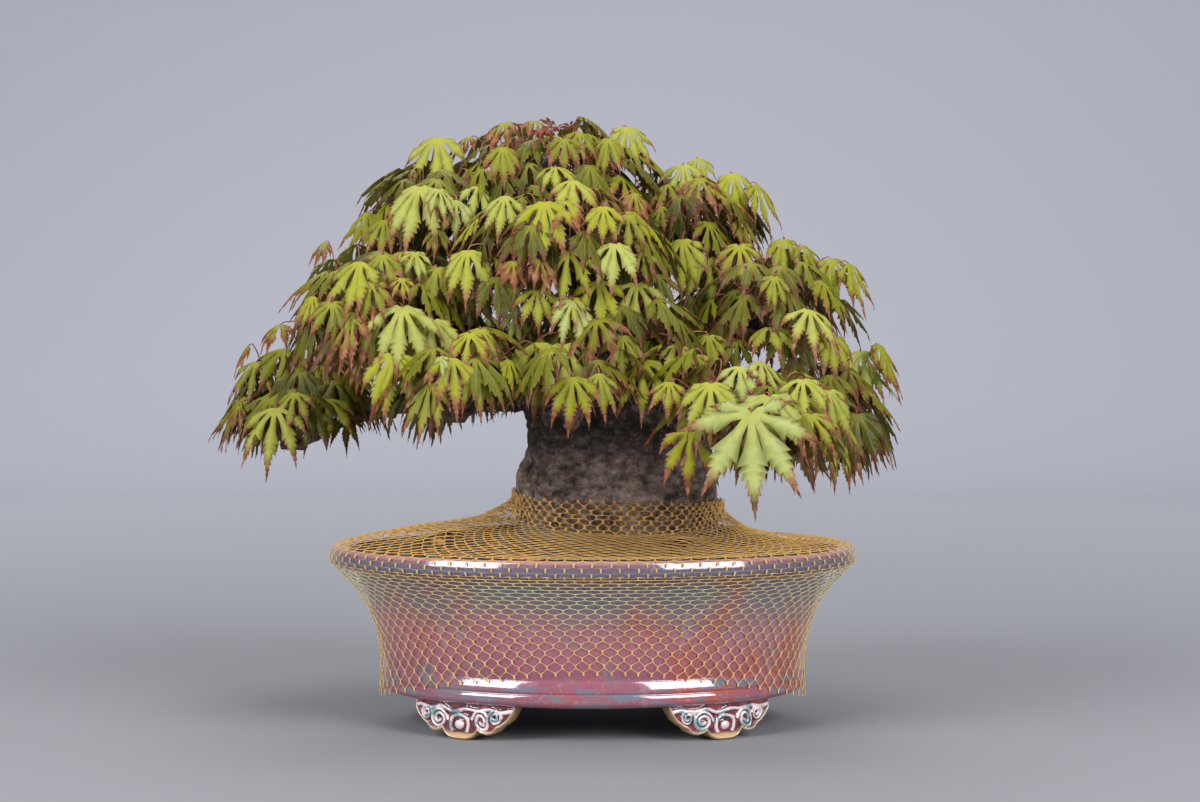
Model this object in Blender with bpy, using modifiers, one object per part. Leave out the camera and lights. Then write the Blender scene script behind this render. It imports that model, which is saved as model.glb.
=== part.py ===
"""Japanese maple bonsai in a glazed oval pot, with the fine net that holds the soil for carrying.

Metres, +Z up. The camera side of the tree faces -Y. Everything is modelled round the middle of the pot,
with the feet on z = 0, and moved at the end so that the whole tree's box stands centred on the origin.
"""

import math
import random

import bmesh
import bpy
from mathutils import Matrix, Vector
from mathutils.bvhtree import BVHTree

# Driving sizes of the pot
RIM_HALF_LENGTH = 0.119
DEPTH_RATIO = 0.74  # the oval's depth over its length
POT_HEIGHT = 0.0805
FOOT_HEIGHT = 0.015
FLOOR_TOP = 0.0215
RIM_WIDTH = 0.0075
DRAIN_RADIUS = 0.007
DRAIN_SIDES = 16
DRAIN_X = 0.045
RING_STEPS = 40  # facets round everything that follows the oval

# Outer side of the pot from the rim down: (half length, height), with the two beads of the base band
POT_OUTSIDE = (
    (RIM_HALF_LENGTH, 0.0790),
    (RIM_HALF_LENGTH, 0.0745),
    (0.1172, 0.0722),
    (0.1085, 0.0697),
    (0.1044, 0.0610),
    (0.1003, 0.0512),
    (0.0971, 0.0403),
    (0.0951, 0.0293),
    (0.0944, 0.0252),
    (0.0956, 0.0230),
    (0.0946, 0.0211),
    (0.0962, 0.0190),
    (0.0955, 0.0165),
    (0.0925, FOOT_HEIGHT),
)
WALL_THICKNESS = 0.0055
RIM_INSIDE = RIM_HALF_LENGTH - RIM_WIDTH
# Inner side of the pot from the floor up to the rim
POT_INSIDE = (
    (0.0870, FLOOR_TOP),
    (0.0895, 0.0250),
    (0.0971 - WALL_THICKNESS, 0.0403),
    (0.1003 - WALL_THICKNESS, 0.0512),
    (0.1044 - WALL_THICKNESS, 0.0610),
    (0.1080 - WALL_THICKNESS, 0.0690),
    (RIM_INSIDE, 0.0775),
    (RIM_INSIDE, POT_HEIGHT - 0.0010),
    (RIM_INSIDE + 0.0010, POT_HEIGHT),
    (RIM_HALF_LENGTH - 0.0015, POT_HEIGHT),
)

# Feet: four bracket feet cut as clouds, each a curved plate under the base band
FOOT_HALF_ARC = 0.0265
FOOT_THICKNESS = 0.011
FOOT_OUTER = 0.0940  # half length of the oval that the outer faces follow
FOOT_SUNK = 0.0015
FOOT_TURN = math.radians(52)  # from the long axis, round the oval
# Lower edge of half a foot: (share of the half arc, share of the foot's height above the table)
FOOT_EDGE = (
    (0.00, 0.00),
    (0.24, 0.00),
    (0.31, 0.10),
    (0.36, 0.30),
    (0.45, 0.20),
    (0.58, 0.22),
    (0.72, 0.40),
    (0.87, 0.63),
    (1.00, 0.92),
)

# Soil
CLEARANCE = 0.00035  # air between pieces that touch in life
ROOT_CLEARANCE = 0.0005
SOIL_EDGE = 0.0775  # its height along the rim
# Top of the soil from its edge to the trunk: (half length, height)
SOIL_MOUND = ((0.0850, 0.0835), (0.0620, 0.0875), (0.0, 0.0875))

# Plastic grid over each drain hole
SCREEN_HALF = 0.0105
SCREEN_THICKNESS = 0.0010
SCREEN_PITCH = 0.0058
SCREEN_OPENING = 0.0034

# Trunk: (height, middle x, middle y, half width, half depth), from the buried root to the tip
TRUNK = (
    (0.050, 0.010, 0.000, 0.031, 0.027),
    (0.070, 0.010, 0.000, 0.042, 0.036),
    (0.087, 0.010, 0.000, 0.0465, 0.041),
    (0.101, 0.010, 0.000, 0.0462, 0.040),
    (0.115, 0.0105, 0.000, 0.0460, 0.040),
    (0.120, 0.0120, 0.000, 0.0435, 0.0395),
    (0.134, 0.0120, 0.000, 0.0435, 0.039),
    (0.147, 0.0130, 0.001, 0.0440, 0.038),
    (0.160, 0.0155, 0.002, 0.0360, 0.033),
    (0.173, 0.0180, 0.003, 0.0270, 0.026),
    (0.190, 0.0130, 0.004, 0.0200, 0.020),
    (0.207, 0.0050, 0.004, 0.0150, 0.015),
    (0.222, -0.0020, 0.004, 0.0100, 0.010),
)
TRUNK_SIDES = 24
TRUNK_TWIST = 9.0  # radians a metre

# Net: where its lower edge lies at the pot's ends and at the middle of its sides
NET_EDGE_ENDS = 0.0130
NET_EDGE_SIDES = 0.0310
NET_THICKNESS = 0.0007
NET_OFF_TRUNK = 0.0011
NET_WALL_ROWS = (0.0, 0.3, 0.65, 1.0)  # rings on the pot's wall, as shares of the way up
NET_OVER_RIM = (RIM_HALF_LENGTH + 0.0006, 0.0792)
# Inner line of the stretched net from the rim down to the base band: (height, half length)
NET_DOWN = (
    (0.0745, 0.1195),
    (0.0690, 0.1148),
    (0.0610, 0.1068),
    (0.0512, 0.1013),
    (0.0403, 0.0980),
    (0.0293, 0.0964),
    (0.0230, 0.0966),
    (0.0120, 0.0970),
)
# Inner line from the rim to the trunk: (share of the way, height at the front and back, height at the ends),
# where it hangs like a tent from the trunk
NET_IN = (
    (0.00, 0.0809, 0.0809),
    (0.20, 0.0824, 0.0832),
    (0.45, 0.0856, 0.0868),
    (0.72, 0.0883, 0.0920),
    (0.97, 0.0890, 0.0975),
    (1.00, 0.0925, 0.0990),
    (1.00, 0.1010, 0.1035),
)

# Leaves: where they spring on a pad's dome
LEAF_SPACING = 0.0285
LEAF_JITTER = 0.10
LOWEST_LEAF = math.radians(-12)  # how far below its middle a pad still bears leaves
DOME_DEPTHS = (0.90, 1.04)  # least and greatest share of the pad's half sizes
PAD_CORE = 0.80  # how much of another pad's dome, by the square of its radius, is kept free of leaves
PAD_CORE_BASE = -0.5  # in half heights, below which another pad keeps nothing free
GOLDEN_TURN = math.pi * (3 - math.sqrt(5))
HEXAGON = math.sqrt(3) / 2  # the area that each leaf takes, in squares of the spacing

# Leaves: how they hang
LEAF_SIZES = (0.82, 1.12)  # least and greatest share of the pad's leaf length
LEAF_TURN_SPREAD = 0.35
LEAF_PITCH_TOP = math.radians(14)
LEAF_PITCH_SIDE = math.radians(58)
LEAF_PITCH_SPREAD = math.radians(8)
LEAF_ROLL_SPREAD = 0.22
LEAF_DROOPS = (0.62, 0.88)
DROOP_POWER = 1.2
DROOP_STEPS = 8
DOWN = Vector((0, 0, -1))
# What a leaf that crosses another node is tried with in turn: (turn, share of its length)
LEAF_TRIES = ((0.0, 1.0), (0.45, 0.95), (-0.45, 0.95), (0.9, 0.9), (-0.9, 0.9))

# Leaves: their outline, in shares of the middle lobe's length
LOBE_TURNS = tuple(math.radians(turn) for turn in (-78, -38, 0, 38, 78))
LOBE_LENGTHS = (0.62, 0.88, 1.0, 0.88, 0.62)
LOBE_HALF_WIDTH = 0.118
LOBE_LEAST_WIDTH = 0.45  # the share of that half width that even the shortest lobe would have
LOBE_WIDEST = 4  # of the steps along a lobe
NOTCH_RADIUS = 0.27
NOTCH_DROOP = 0.3
BASE_TURN = math.radians(128)
BASE_RADIUS = 0.055
FOLD = 0.22
LEAF_THICKNESS = 0.0011
CENTRE_THICKNESS = 0.0014
STALK_HALF_WIDTH = 0.0007
STALK_SHOULDER = 0.88

# Twigs
TWIG_RADIUS = 0.0015
TWIG_TIP_RADIUS = 0.0011
TWIG_SIDES = 4
LEAVES_A_TWIG = 3
TWIG_REACH = 0.66  # of the way from the fork to the middle of its leaves
LAST_JOINT = 0.93  # where the outermost leaf springs, as a share of the twig
JOINT_STEP = 0.20
TWIG_LIFTS = (0.0, 0.004, 0.009, 0.015)  # how far a twig's end may be raised to clear what it crosses
STUB_LENGTH = 0.009
STUB_FORK = 0.6  # where the twigs part, as a share of the stub
STUB_RADIUS = 0.0024
BRANCH_TIP_RADIUS = 0.0028
BRANCH_POINTS = 7
BRANCH_RISE = 0.16  # of its reach
# Bezier handles of a branch: (share of the reach, share of the rise)
BRANCH_HANDLES = ((0.0, 0.0), (0.38, 0.4), (0.74, 0.9), (1.0, 0.0))
HUB_DROP = 0.35  # of the pad's half height, from its middle down to where its branch ends

# Foliage pads: middle, half sizes, leaf length, height on the trunk where the branch starts, its root radius
PADS = {
    "pad_crown": ((-0.018, 0.004, 0.241), (0.052, 0.044, 0.036), 0.031, 0.214, 0.0070),
    "pad_crown_left": ((-0.068, -0.002, 0.228), (0.034, 0.042, 0.035), 0.031, 0.192, 0.0075),
    "pad_crown_right": ((0.042, 0.008, 0.226), (0.034, 0.038, 0.031), 0.029, 0.190, 0.0070),
    "pad_crown_front": ((-0.012, -0.050, 0.214), (0.046, 0.032, 0.030), 0.031, 0.186, 0.0065),
    "pad_crown_back": ((0.000, 0.058, 0.216), (0.048, 0.036, 0.034), 0.030, 0.188, 0.0065),
    "pad_left_front": ((-0.092, -0.044, 0.184), (0.038, 0.038, 0.036), 0.031, 0.160, 0.0085),
    "pad_left_back": ((-0.092, 0.050, 0.184), (0.040, 0.038, 0.034), 0.030, 0.158, 0.0080),
    "pad_middle": ((0.008, -0.062, 0.176), (0.042, 0.026, 0.024), 0.030, 0.165, 0.0060),
    "pad_right_mid": ((0.079, -0.028, 0.190), (0.034, 0.036, 0.028), 0.030, 0.166, 0.0085),
    "pad_right_back": ((0.078, 0.050, 0.188), (0.038, 0.038, 0.032), 0.030, 0.160, 0.0075),
    "pad_front_left": ((-0.056, -0.082, 0.152), (0.034, 0.030, 0.030), 0.032, 0.146, 0.0075),
    "pad_front": ((-0.008, -0.092, 0.146), (0.024, 0.020, 0.022), 0.031, 0.143, 0.0060),
    "pad_front_right": ((0.060, -0.086, 0.139), (0.044, 0.034, 0.028), 0.037, 0.140, 0.0085),
    "pad_back_left": ((-0.052, 0.094, 0.152), (0.038, 0.032, 0.032), 0.031, 0.148, 0.0080),
    "pad_back_right": ((0.036, 0.096, 0.152), (0.040, 0.032, 0.032), 0.031, 0.147, 0.0080),
    "pad_left_low": ((-0.137, 0.020, 0.138), (0.032, 0.040, 0.036), 0.032, 0.148, 0.0115),
    "pad_right_low": ((0.107, 0.012, 0.138), (0.028, 0.042, 0.034), 0.033, 0.144, 0.0100),
}


def clear_scene():
    for obj in list(bpy.data.objects):
        bpy.data.objects.remove(obj)


def make_collection(name, hidden=False):
    collection = bpy.data.collections.new(name)
    collection.hide_render = hidden
    bpy.context.scene.collection.children.link(collection)
    return collection


def make_material(name, colour, roughness, metallic=0.0):
    material = bpy.data.materials.new(name)
    material.use_nodes = True
    shader = material.node_tree.nodes["Principled BSDF"]
    shader.inputs["Base Color"].default_value = (*colour, 1.0)
    shader.inputs["Roughness"].default_value = roughness
    shader.inputs["Metallic"].default_value = metallic
    material.diffuse_color = (*colour, 1.0)
    return material


def add_object(name, data, collection, material=None):
    obj = bpy.data.objects.new(name, data)
    collection.objects.link(obj)
    if material is not None:
        data.materials.append(material)
    return obj


def object_from_bmesh(name, bm, collection, material=None, outward=True):
    if outward:
        bmesh.ops.recalc_face_normals(bm, faces=bm.faces)
    mesh = bpy.data.meshes.new(name)
    bm.to_mesh(mesh)
    bm.free()
    return add_object(name, mesh, collection, material)


def make_cutter(obj, collection):
    """Moves obj among the cutters, out of the render."""
    for home in list(obj.users_collection):
        home.objects.unlink(obj)
    collection.objects.link(obj)
    obj.hide_render = True
    obj.display_type = "WIRE"
    return obj


def apply_modifiers(obj):
    """Leaves obj with the mesh that its modifiers make, and no modifiers."""
    graph = bpy.context.evaluated_depsgraph_get()
    mesh = bpy.data.meshes.new_from_object(obj.evaluated_get(graph))
    obj.modifiers.clear()
    obj.data = mesh


def join_pieces(obj, pieces, solver="MANIFOLD"):
    """Joins the pieces to obj in one Boolean union, and removes them."""
    group = bpy.data.collections.new("joined")
    bpy.context.scene.collection.children.link(group)
    for piece in pieces:
        for home in list(piece.users_collection):
            home.objects.unlink(piece)
        group.objects.link(piece)
    union = obj.modifiers.new("union", "BOOLEAN")
    union.operation = "UNION"
    union.operand_type = "COLLECTION"
    union.collection = group
    union.solver = solver
    apply_modifiers(obj)
    for piece in pieces:
        bpy.data.objects.remove(piece)
    bpy.data.collections.remove(group)


def keep_largest_shell(obj):
    """Drops the small closed shells that a union leaves where thin pieces enclose a void between them."""
    bm = bmesh.new()
    bm.from_mesh(obj.data)
    unseen, shells = set(bm.verts), []
    while unseen:
        shell, edge = set(), [unseen.pop()]
        while edge:
            vertex = edge.pop()
            shell.add(vertex)
            near = {link.other_vert(vertex) for link in vertex.link_edges} & unseen
            unseen -= near
            edge.extend(near)
        shells.append(shell)
    shells.sort(key=len)
    spare = [vertex for shell in shells[:-1] for vertex in shell]
    bmesh.ops.delete(bm, geom=spare, context="VERTS")
    bm.to_mesh(obj.data)
    bm.free()
    return len(shells) - 1


def cut(obj, cutter, name="cut"):
    modifier = obj.modifiers.new(name, "BOOLEAN")
    modifier.operation = "DIFFERENCE"
    modifier.object = cutter
    modifier.solver = "EXACT"


def interpolate(table, at):
    """The second value of a (key, value) table at a key between its rows, in whichever order the keys run."""
    rows = sorted(table)
    if at <= rows[0][0]:
        return rows[0][1]
    for (low, low_value), (high, high_value) in zip(rows, rows[1:]):
        if at <= high:
            return low_value + (high_value - low_value) * (at - low) / (high - low)
    return rows[-1][1]


def loft(rings, closed_ends=True):
    """A bmesh skin over rings of points, which all run the same way round."""
    bm = bmesh.new()
    rows = [[bm.verts.new(point) for point in ring] for ring in rings]
    count = len(rows[0])
    for lower, upper in zip(rows, rows[1:]):
        for i in range(count):
            j = (i + 1) % count
            bm.faces.new((lower[i], lower[j], upper[j], upper[i]))
    if closed_ends:
        bm.faces.new(rows[0])
        bm.faces.new(rows[-1])
    return bm


# Pot


def turned_oval(name, profile, collection, material=None):
    """A profile of (half length, height) turned round Z and squeezed to the pot's oval."""
    mesh = bpy.data.meshes.new(name)
    points = [(half, 0.0, height) for half, height in profile]
    mesh.from_pydata(points, [(i, i + 1) for i in range(len(points) - 1)], [])
    obj = add_object(name, mesh, collection, material)
    screw = obj.modifiers.new("turn", "SCREW")
    screw.axis = "Z"
    screw.steps = RING_STEPS
    screw.render_steps = RING_STEPS
    screw.use_merge_vertices = True
    screw.merge_threshold = 0.00001
    apply_modifiers(obj)
    obj.data.transform(Matrix.Diagonal((1.0, DEPTH_RATIO, 1.0, 1.0)))
    return obj


def oval_point(half, turn, height):
    return Vector((half * math.cos(turn), half * DEPTH_RATIO * math.sin(turn), height))


def ring_turns():
    return [2 * math.pi * i / RING_STEPS for i in range(RING_STEPS)]


def oval_walk(half, start_turn, distance):
    """The turn reached by walking a distance along the oval, in small steps."""
    turn, steps = start_turn, 24
    for _ in range(steps):
        slope = Vector((-half * math.sin(turn), half * DEPTH_RATIO * math.cos(turn))).length
        turn += distance / steps / slope
    return turn


def make_foot(name, middle_turn, collection):
    """One cloud foot: sections across its thickness, carried along the oval, with the lower edge in lobes."""
    shares = [-share for share, _ in reversed(FOOT_EDGE[1:])] + [share for share, _ in FOOT_EDGE]
    rings = []
    for share in shares:
        turn = oval_walk(FOOT_OUTER, middle_turn, share * FOOT_HALF_ARC)
        outer = oval_point(FOOT_OUTER, turn, 0.0)
        inward = Vector((-math.cos(turn), -math.sin(turn) / DEPTH_RATIO, 0.0)).normalized()
        inner = outer + inward * FOOT_THICKNESS
        low = interpolate(FOOT_EDGE, abs(share)) * FOOT_HEIGHT
        high = FOOT_HEIGHT + FOOT_SUNK
        rings.append([(*outer.xy, low), (*outer.xy, high), (*inner.xy, high), (*inner.xy, low)])
    return object_from_bmesh(name, loft(rings), collection)


def make_pot(parts, cutters, glaze):
    profile = [(0.0, FLOOR_TOP), *POT_INSIDE, *POT_OUTSIDE, (0.0, FOOT_HEIGHT)]
    pot = turned_oval("pot", profile, parts, glaze)
    turns = (FOOT_TURN, math.pi - FOOT_TURN, math.pi + FOOT_TURN, -FOOT_TURN)
    feet = [make_foot(f"foot_{i}", turn, parts) for i, turn in enumerate(turns)]
    join_pieces(pot, feet, "EXACT")
    for name, side in (("drain_left", -1), ("drain_right", 1)):
        bm = bmesh.new()
        bmesh.ops.create_cone(bm, cap_ends=True, segments=DRAIN_SIDES, radius1=DRAIN_RADIUS,
                              radius2=DRAIN_RADIUS, depth=FLOOR_TOP)
        bmesh.ops.translate(bm, verts=bm.verts, vec=(side * DRAIN_X, 0, (FLOOR_TOP + FOOT_HEIGHT) / 2))
        drill = object_from_bmesh(f"{name}_cutter", bm, parts)
        cut(pot, make_cutter(drill, cutters), name)


# Trunk and branches


def trunk_row(height):
    """(middle x, middle y, half width, half depth) of the trunk at a height."""
    return [interpolate([(row[0], row[i]) for row in TRUNK], height) for i in range(1, 5)]


def trunk_swell(turn, height):
    """The bark's broad ribs and hollows, which wind up the trunk, as a factor on its radius."""
    twist = TRUNK_TWIST * height
    return 1 + 0.030 * math.cos(3 * turn - 0.2 + twist) + 0.022 * math.cos(5 * turn + 0.5 - 2 * twist)


def trunk_ring(height, grow=0.0, sides=TRUNK_SIDES):
    x, y, half_width, half_depth = trunk_row(height)
    points = []
    for i in range(sides):
        turn = 2 * math.pi * i / sides
        swell = trunk_swell(turn, height)
        across = (half_width * swell + grow) * math.cos(turn)
        deep = (half_depth * swell + grow) * math.sin(turn)
        points.append(Vector((x + across, y + deep, height)))
    return points


def trunk_axis(height):
    x, y, _, _ = trunk_row(height)
    return Vector((x, y, height))


def pad_hub(pad):
    """Where a pad's branch ends and its twigs begin: under the middle of the pad."""
    middle, half = Vector(PADS[pad][0]), PADS[pad][1]
    return middle - Vector((0, 0, HUB_DROP * half[2]))


def branch_path(pad):
    """Points from the trunk's axis out to the hub, rising first and levelling out as old branches do."""
    start, end = trunk_axis(PADS[pad][3]), pad_hub(pad)
    reach = end - start
    rise = Vector((0, 0, BRANCH_RISE * reach.xy.length))
    handles = [start + reach * out + rise * up for out, up in BRANCH_HANDLES]
    points = []
    for i in range(BRANCH_POINTS):
        t = i / (BRANCH_POINTS - 1)
        weights = ((1 - t) ** 3, 3 * t * (1 - t) ** 2, 3 * t**2 * (1 - t), t**3)
        points.append(sum((handle * weight for handle, weight in zip(handles, weights)), Vector()))
    return points


def branch_end_heading(pad):
    path = branch_path(pad)
    return (path[-1] - path[-2]).normalized()


def make_branch(pad, collection):
    """A tapering branch as a mesh, from inside the trunk to the pad's hub."""
    root_radius = PADS[pad][4]
    curve = bpy.data.curves.new("branch", "CURVE")
    curve.dimensions = "3D"
    curve.bevel_depth = 1.0
    curve.bevel_resolution = 1
    curve.use_fill_caps = True
    path = branch_path(pad)
    spline = curve.splines.new("POLY")
    spline.points.add(len(path) - 1)
    for i, (point, place) in enumerate(zip(spline.points, path)):
        share = i / (len(path) - 1)
        point.co = (*place, 1.0)
        point.radius = root_radius + (BRANCH_TIP_RADIUS - root_radius) * share**0.8
    guide = add_object("branch_curve", curve, collection)
    graph = bpy.context.evaluated_depsgraph_get()
    mesh = bpy.data.meshes.new_from_object(guide.evaluated_get(graph))
    bpy.data.objects.remove(guide)
    bm = bmesh.new()
    bm.from_mesh(mesh)
    bmesh.ops.remove_doubles(bm, verts=bm.verts, dist=0.00001)
    return object_from_bmesh("branch", bm, collection)


def make_trunk(parts, bark):
    rings = [trunk_ring(row[0]) for row in TRUNK]
    trunk = object_from_bmesh("trunk", loft(rings), parts, bark)
    join_pieces(trunk, [make_branch(pad, parts) for pad in PADS])
    return trunk


# Soil and drain screens


def box_bmesh(places, size):
    """Boxes of one size, centred on the places."""
    bm = bmesh.new()
    for place in places:
        made = bmesh.ops.create_cube(bm, size=1.0)
        bmesh.ops.scale(bm, verts=made["verts"], vec=size)
        bmesh.ops.translate(bm, verts=made["verts"], vec=place)
    return bm


def make_screen(name, side, parts, cutters, plastic):
    """A square of coarse plastic grid lying over a drain hole."""
    middle = Vector((side * DRAIN_X, 0, FLOOR_TOP + CLEARANCE + SCREEN_THICKNESS / 2))
    plate = box_bmesh([middle], (2 * SCREEN_HALF, 2 * SCREEN_HALF, SCREEN_THICKNESS))
    screen = object_from_bmesh(name, plate, parts, plastic)
    steps = [i * SCREEN_PITCH for i in (-1, 0, 1)]
    places = [middle + Vector((column, row, 0)) for column in steps for row in steps]
    holes = box_bmesh(places, (SCREEN_OPENING, SCREEN_OPENING, 4 * SCREEN_THICKNESS))
    grid = object_from_bmesh(f"{name}_holes", holes, parts)
    cut(screen, make_cutter(grid, cutters), "grid")


def make_soil(parts, cutters, akadama):
    """The packed soil, with pockets for the trunk's foot and the drain screens."""
    floor = FLOOR_TOP + CLEARANCE
    wall = [(half - CLEARANCE, max(height, floor)) for half, height in POT_INSIDE if height < SOIL_EDGE]
    edge = (RIM_INSIDE - CLEARANCE, SOIL_EDGE)
    profile = [(0.0, floor), *wall, edge, *SOIL_MOUND]
    soil = turned_oval("soil", list(reversed(profile)), parts, akadama)
    rings = [trunk_ring(row[0], grow=ROOT_CLEARANCE) for row in TRUNK[:4]]
    for point in rings[0]:
        point.z -= ROOT_CLEARANCE
    root = object_from_bmesh("root_cutter", loft(rings), parts)
    cut(soil, make_cutter(root, cutters), "root_hole")
    places = [Vector((side * DRAIN_X, 0, FLOOR_TOP)) for side in (-1, 1)]
    reach = 2 * (SCREEN_HALF + CLEARANCE)
    pockets = box_bmesh(places, (reach, reach, 2 * (SCREEN_THICKNESS + 2 * CLEARANCE)))
    pocket = object_from_bmesh("screen_pockets", pockets, parts)
    cut(soil, make_cutter(pocket, cutters), "screens")


# Net


def net_ring_on_pot(share):
    """A ring of the net on the pot's side: share 0 is its lower edge and 1 is the rim's lower edge."""
    points = []
    for turn in ring_turns():
        edge = NET_EDGE_ENDS + (NET_EDGE_SIDES - NET_EDGE_ENDS) * abs(math.sin(turn)) ** 1.6
        height = edge + (NET_DOWN[0][0] - edge) * share
        points.append(oval_point(interpolate(NET_DOWN, height), turn, height))
    return points


def net_ring_over_soil(share, height_across, height_at_ends):
    """A ring of the net between the rim, at share 0, and the trunk, at share 1."""
    points = []
    trunk = trunk_ring(NET_IN[-2][1], grow=NET_OFF_TRUNK, sides=RING_STEPS)
    for turn, at_trunk in zip(ring_turns(), trunk):
        point = oval_point(RIM_HALF_LENGTH - 0.0012, turn, 0.0).lerp(at_trunk, share)
        point.z = height_across + (height_at_ends - height_across) * math.cos(turn) ** 2
        points.append(point)
    return points


def make_net(parts, cord):
    """The net as one thin skin, from the base band up over the rim and the soil to the trunk's foot."""
    rings = [net_ring_on_pot(share) for share in NET_WALL_ROWS]
    half, height = NET_OVER_RIM
    rings.append([oval_point(half, turn, height) for turn in ring_turns()])
    rings += [net_ring_over_soil(*row) for row in NET_IN]
    net = object_from_bmesh("net", loft(rings, closed_ends=False), parts, cord)
    shell = net.modifiers.new("thickness", "SOLIDIFY")
    shell.thickness = NET_THICKNESS
    shell.offset = 1.0
    return net


# Foliage


def leaf_places(pad, spacing):
    """Where a pad's leaves spring: an even spiral over its dome, without what lies inside other pads."""
    middle, half = Vector(PADS[pad][0]), Vector(PADS[pad][1])
    mean = (half.x * half.y * half.z) ** (1 / 3)
    lowest = math.sin(LOWEST_LEAF)
    area = 2 * math.pi * mean**2 * (1 - lowest)
    count = round(area / (HEXAGON * spacing**2))
    places = []
    for k in range(count):
        draw = random.Random(f"{pad} {spacing:.4f} {k}")
        level = 1 - (1 - lowest) * (k + 0.5) / count
        turn = k * GOLDEN_TURN + draw.uniform(-LEAF_JITTER, LEAF_JITTER)
        flat = math.sqrt(1 - level**2)
        unit = Vector((flat * math.cos(turn), flat * math.sin(turn), level))
        place = middle + half * unit * draw.uniform(*DOME_DEPTHS)
        if not inside_other_pad(pad, place):
            places.append((place, turn, level, draw))
    return places


def inside_other_pad(pad, place):
    for other, (middle, half, *_) in PADS.items():
        if other == pad:
            continue
        offset = [(place[i] - middle[i]) / half[i] for i in range(3)]
        if offset[2] > PAD_CORE_BASE and sum(value**2 for value in offset) < PAD_CORE:
            return True
    return False


def leaf_pose(pad, place, turn, level, draw):
    """(place, frame, length, droop) of one leaf. The frame's X runs down the middle lobe and its Z is up."""
    length = PADS[pad][2] * draw.uniform(*LEAF_SIZES)
    heading = turn + draw.uniform(-LEAF_TURN_SPREAD, LEAF_TURN_SPREAD)
    pitch = LEAF_PITCH_SIDE + (LEAF_PITCH_TOP - LEAF_PITCH_SIDE) * max(level, 0.0)
    pitch += draw.uniform(-LEAF_PITCH_SPREAD, LEAF_PITCH_SPREAD)
    roll = draw.uniform(-LEAF_ROLL_SPREAD, LEAF_ROLL_SPREAD)
    droop = draw.uniform(*LEAF_DROOPS)
    frame = Matrix.Rotation(heading, 3, "Z") @ Matrix.Rotation(pitch, 3, "Y") @ Matrix.Rotation(roll, 3, "X")
    return place, frame, length, droop


def hanging_path(start, along, length, droop):
    """Points down a lobe's rib, which starts out along its heading and is drawn towards the ground."""
    points = [start]
    for i in range(DROOP_STEPS):
        pull = droop * ((i + 0.5) / DROOP_STEPS) ** DROOP_POWER
        heading = (along * (1 - pull) + DOWN * pull).normalized()
        points.append(points[-1] + heading * length / DROOP_STEPS)
    return points


class Blade:
    """One leaf as a closed lens: ribs with a point above and below, and a margin that both faces share."""

    def __init__(self):
        self.bm = bmesh.new()

    def rib(self, place, normal, thickness):
        offset = normal * thickness / 2
        return self.bm.verts.new(place + offset), self.bm.verts.new(place - offset)

    def margin(self, place):
        vertex = self.bm.verts.new(place)
        return vertex, vertex

    def face(self, a, b, c):
        self.bm.faces.new((a[0], b[0], c[0]))
        self.bm.faces.new((a[1], c[1], b[1]))


def add_lobe(blade, centre, left, right, start, heading, normal, length, half_width, droop, arched):
    """A pointed lobe between two notches of the blade."""
    path = hanging_path(start, heading, length, droop)
    widest = path[LOBE_WIDEST]
    along = (path[-1] - path[LOBE_WIDEST - 1]).normalized()
    side = normal.cross(along).normalized()
    lift = along.cross(side).normalized()
    edge = lift * (-FOLD * half_width)
    tip = blade.margin(path[-1])
    left_edge = blade.margin(widest + side * half_width + edge)
    right_edge = blade.margin(widest - side * half_width + edge)
    blade.face(centre, left, left_edge)
    blade.face(centre, right_edge, right)
    if arched:
        rib = blade.rib(widest, lift, LEAF_THICKNESS)
        blade.face(centre, left_edge, rib)
        blade.face(centre, rib, right_edge)
        blade.face(rib, left_edge, tip)
        blade.face(rib, tip, right_edge)
    else:
        blade.face(centre, left_edge, tip)
        blade.face(centre, tip, right_edge)


def add_stalk(blade, centre, left, right, start, end, normal):
    """The leaf's stalk, from the blade's base to its end inside the twig."""
    reach = end - start
    side = normal.cross(reach).normalized() * STALK_HALF_WIDTH
    lift = reach.cross(side).normalized()
    shoulder = start + reach * STALK_SHOULDER
    rib = blade.rib(shoulder, lift, 2 * STALK_HALF_WIDTH)
    tip = blade.margin(end)
    left_edge, right_edge = blade.margin(shoulder + side), blade.margin(shoulder - side)
    blade.face(centre, left, left_edge)
    blade.face(centre, right_edge, right)
    blade.face(centre, left_edge, rib)
    blade.face(centre, rib, right_edge)
    blade.face(rib, left_edge, tip)
    blade.face(rib, tip, right_edge)


def leaf_bmesh(pose, stalk_end):
    """One maple leaf of five lobes on its stalk."""
    place, frame, length, droop = pose
    blade = Blade()
    normal = frame @ Vector((0, 0, 1))

    def direction(turn):
        return frame @ Vector((math.cos(turn), math.sin(turn), 0))

    def notch_at(turn, radius):
        return blade.margin(hanging_path(place, direction(turn), radius * length, droop * NOTCH_DROOP)[-1])

    centre = blade.rib(place, normal, CENTRE_THICKNESS)
    turns = [-BASE_TURN] + [(a + b) / 2 for a, b in zip(LOBE_TURNS, LOBE_TURNS[1:])] + [BASE_TURN]
    radii = [BASE_RADIUS] + [NOTCH_RADIUS] * (len(LOBE_TURNS) - 1) + [BASE_RADIUS]
    notches = [notch_at(turn, radius) for turn, radius in zip(turns, radii)]
    for i, (turn, share) in enumerate(zip(LOBE_TURNS, LOBE_LENGTHS)):
        lobe_length = share * length
        half_width = LOBE_HALF_WIDTH * length * (LOBE_LEAST_WIDTH + (1 - LOBE_LEAST_WIDTH) * share)
        arched = turn == 0
        add_lobe(blade, centre, notches[i + 1], notches[i], place, direction(turn), normal, lobe_length,
                 half_width, droop, arched)
    add_stalk(blade, centre, notches[0], notches[-1], place, stalk_end, normal)
    bmesh.ops.recalc_face_normals(blade.bm, faces=blade.bm.faces)
    return blade.bm


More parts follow.
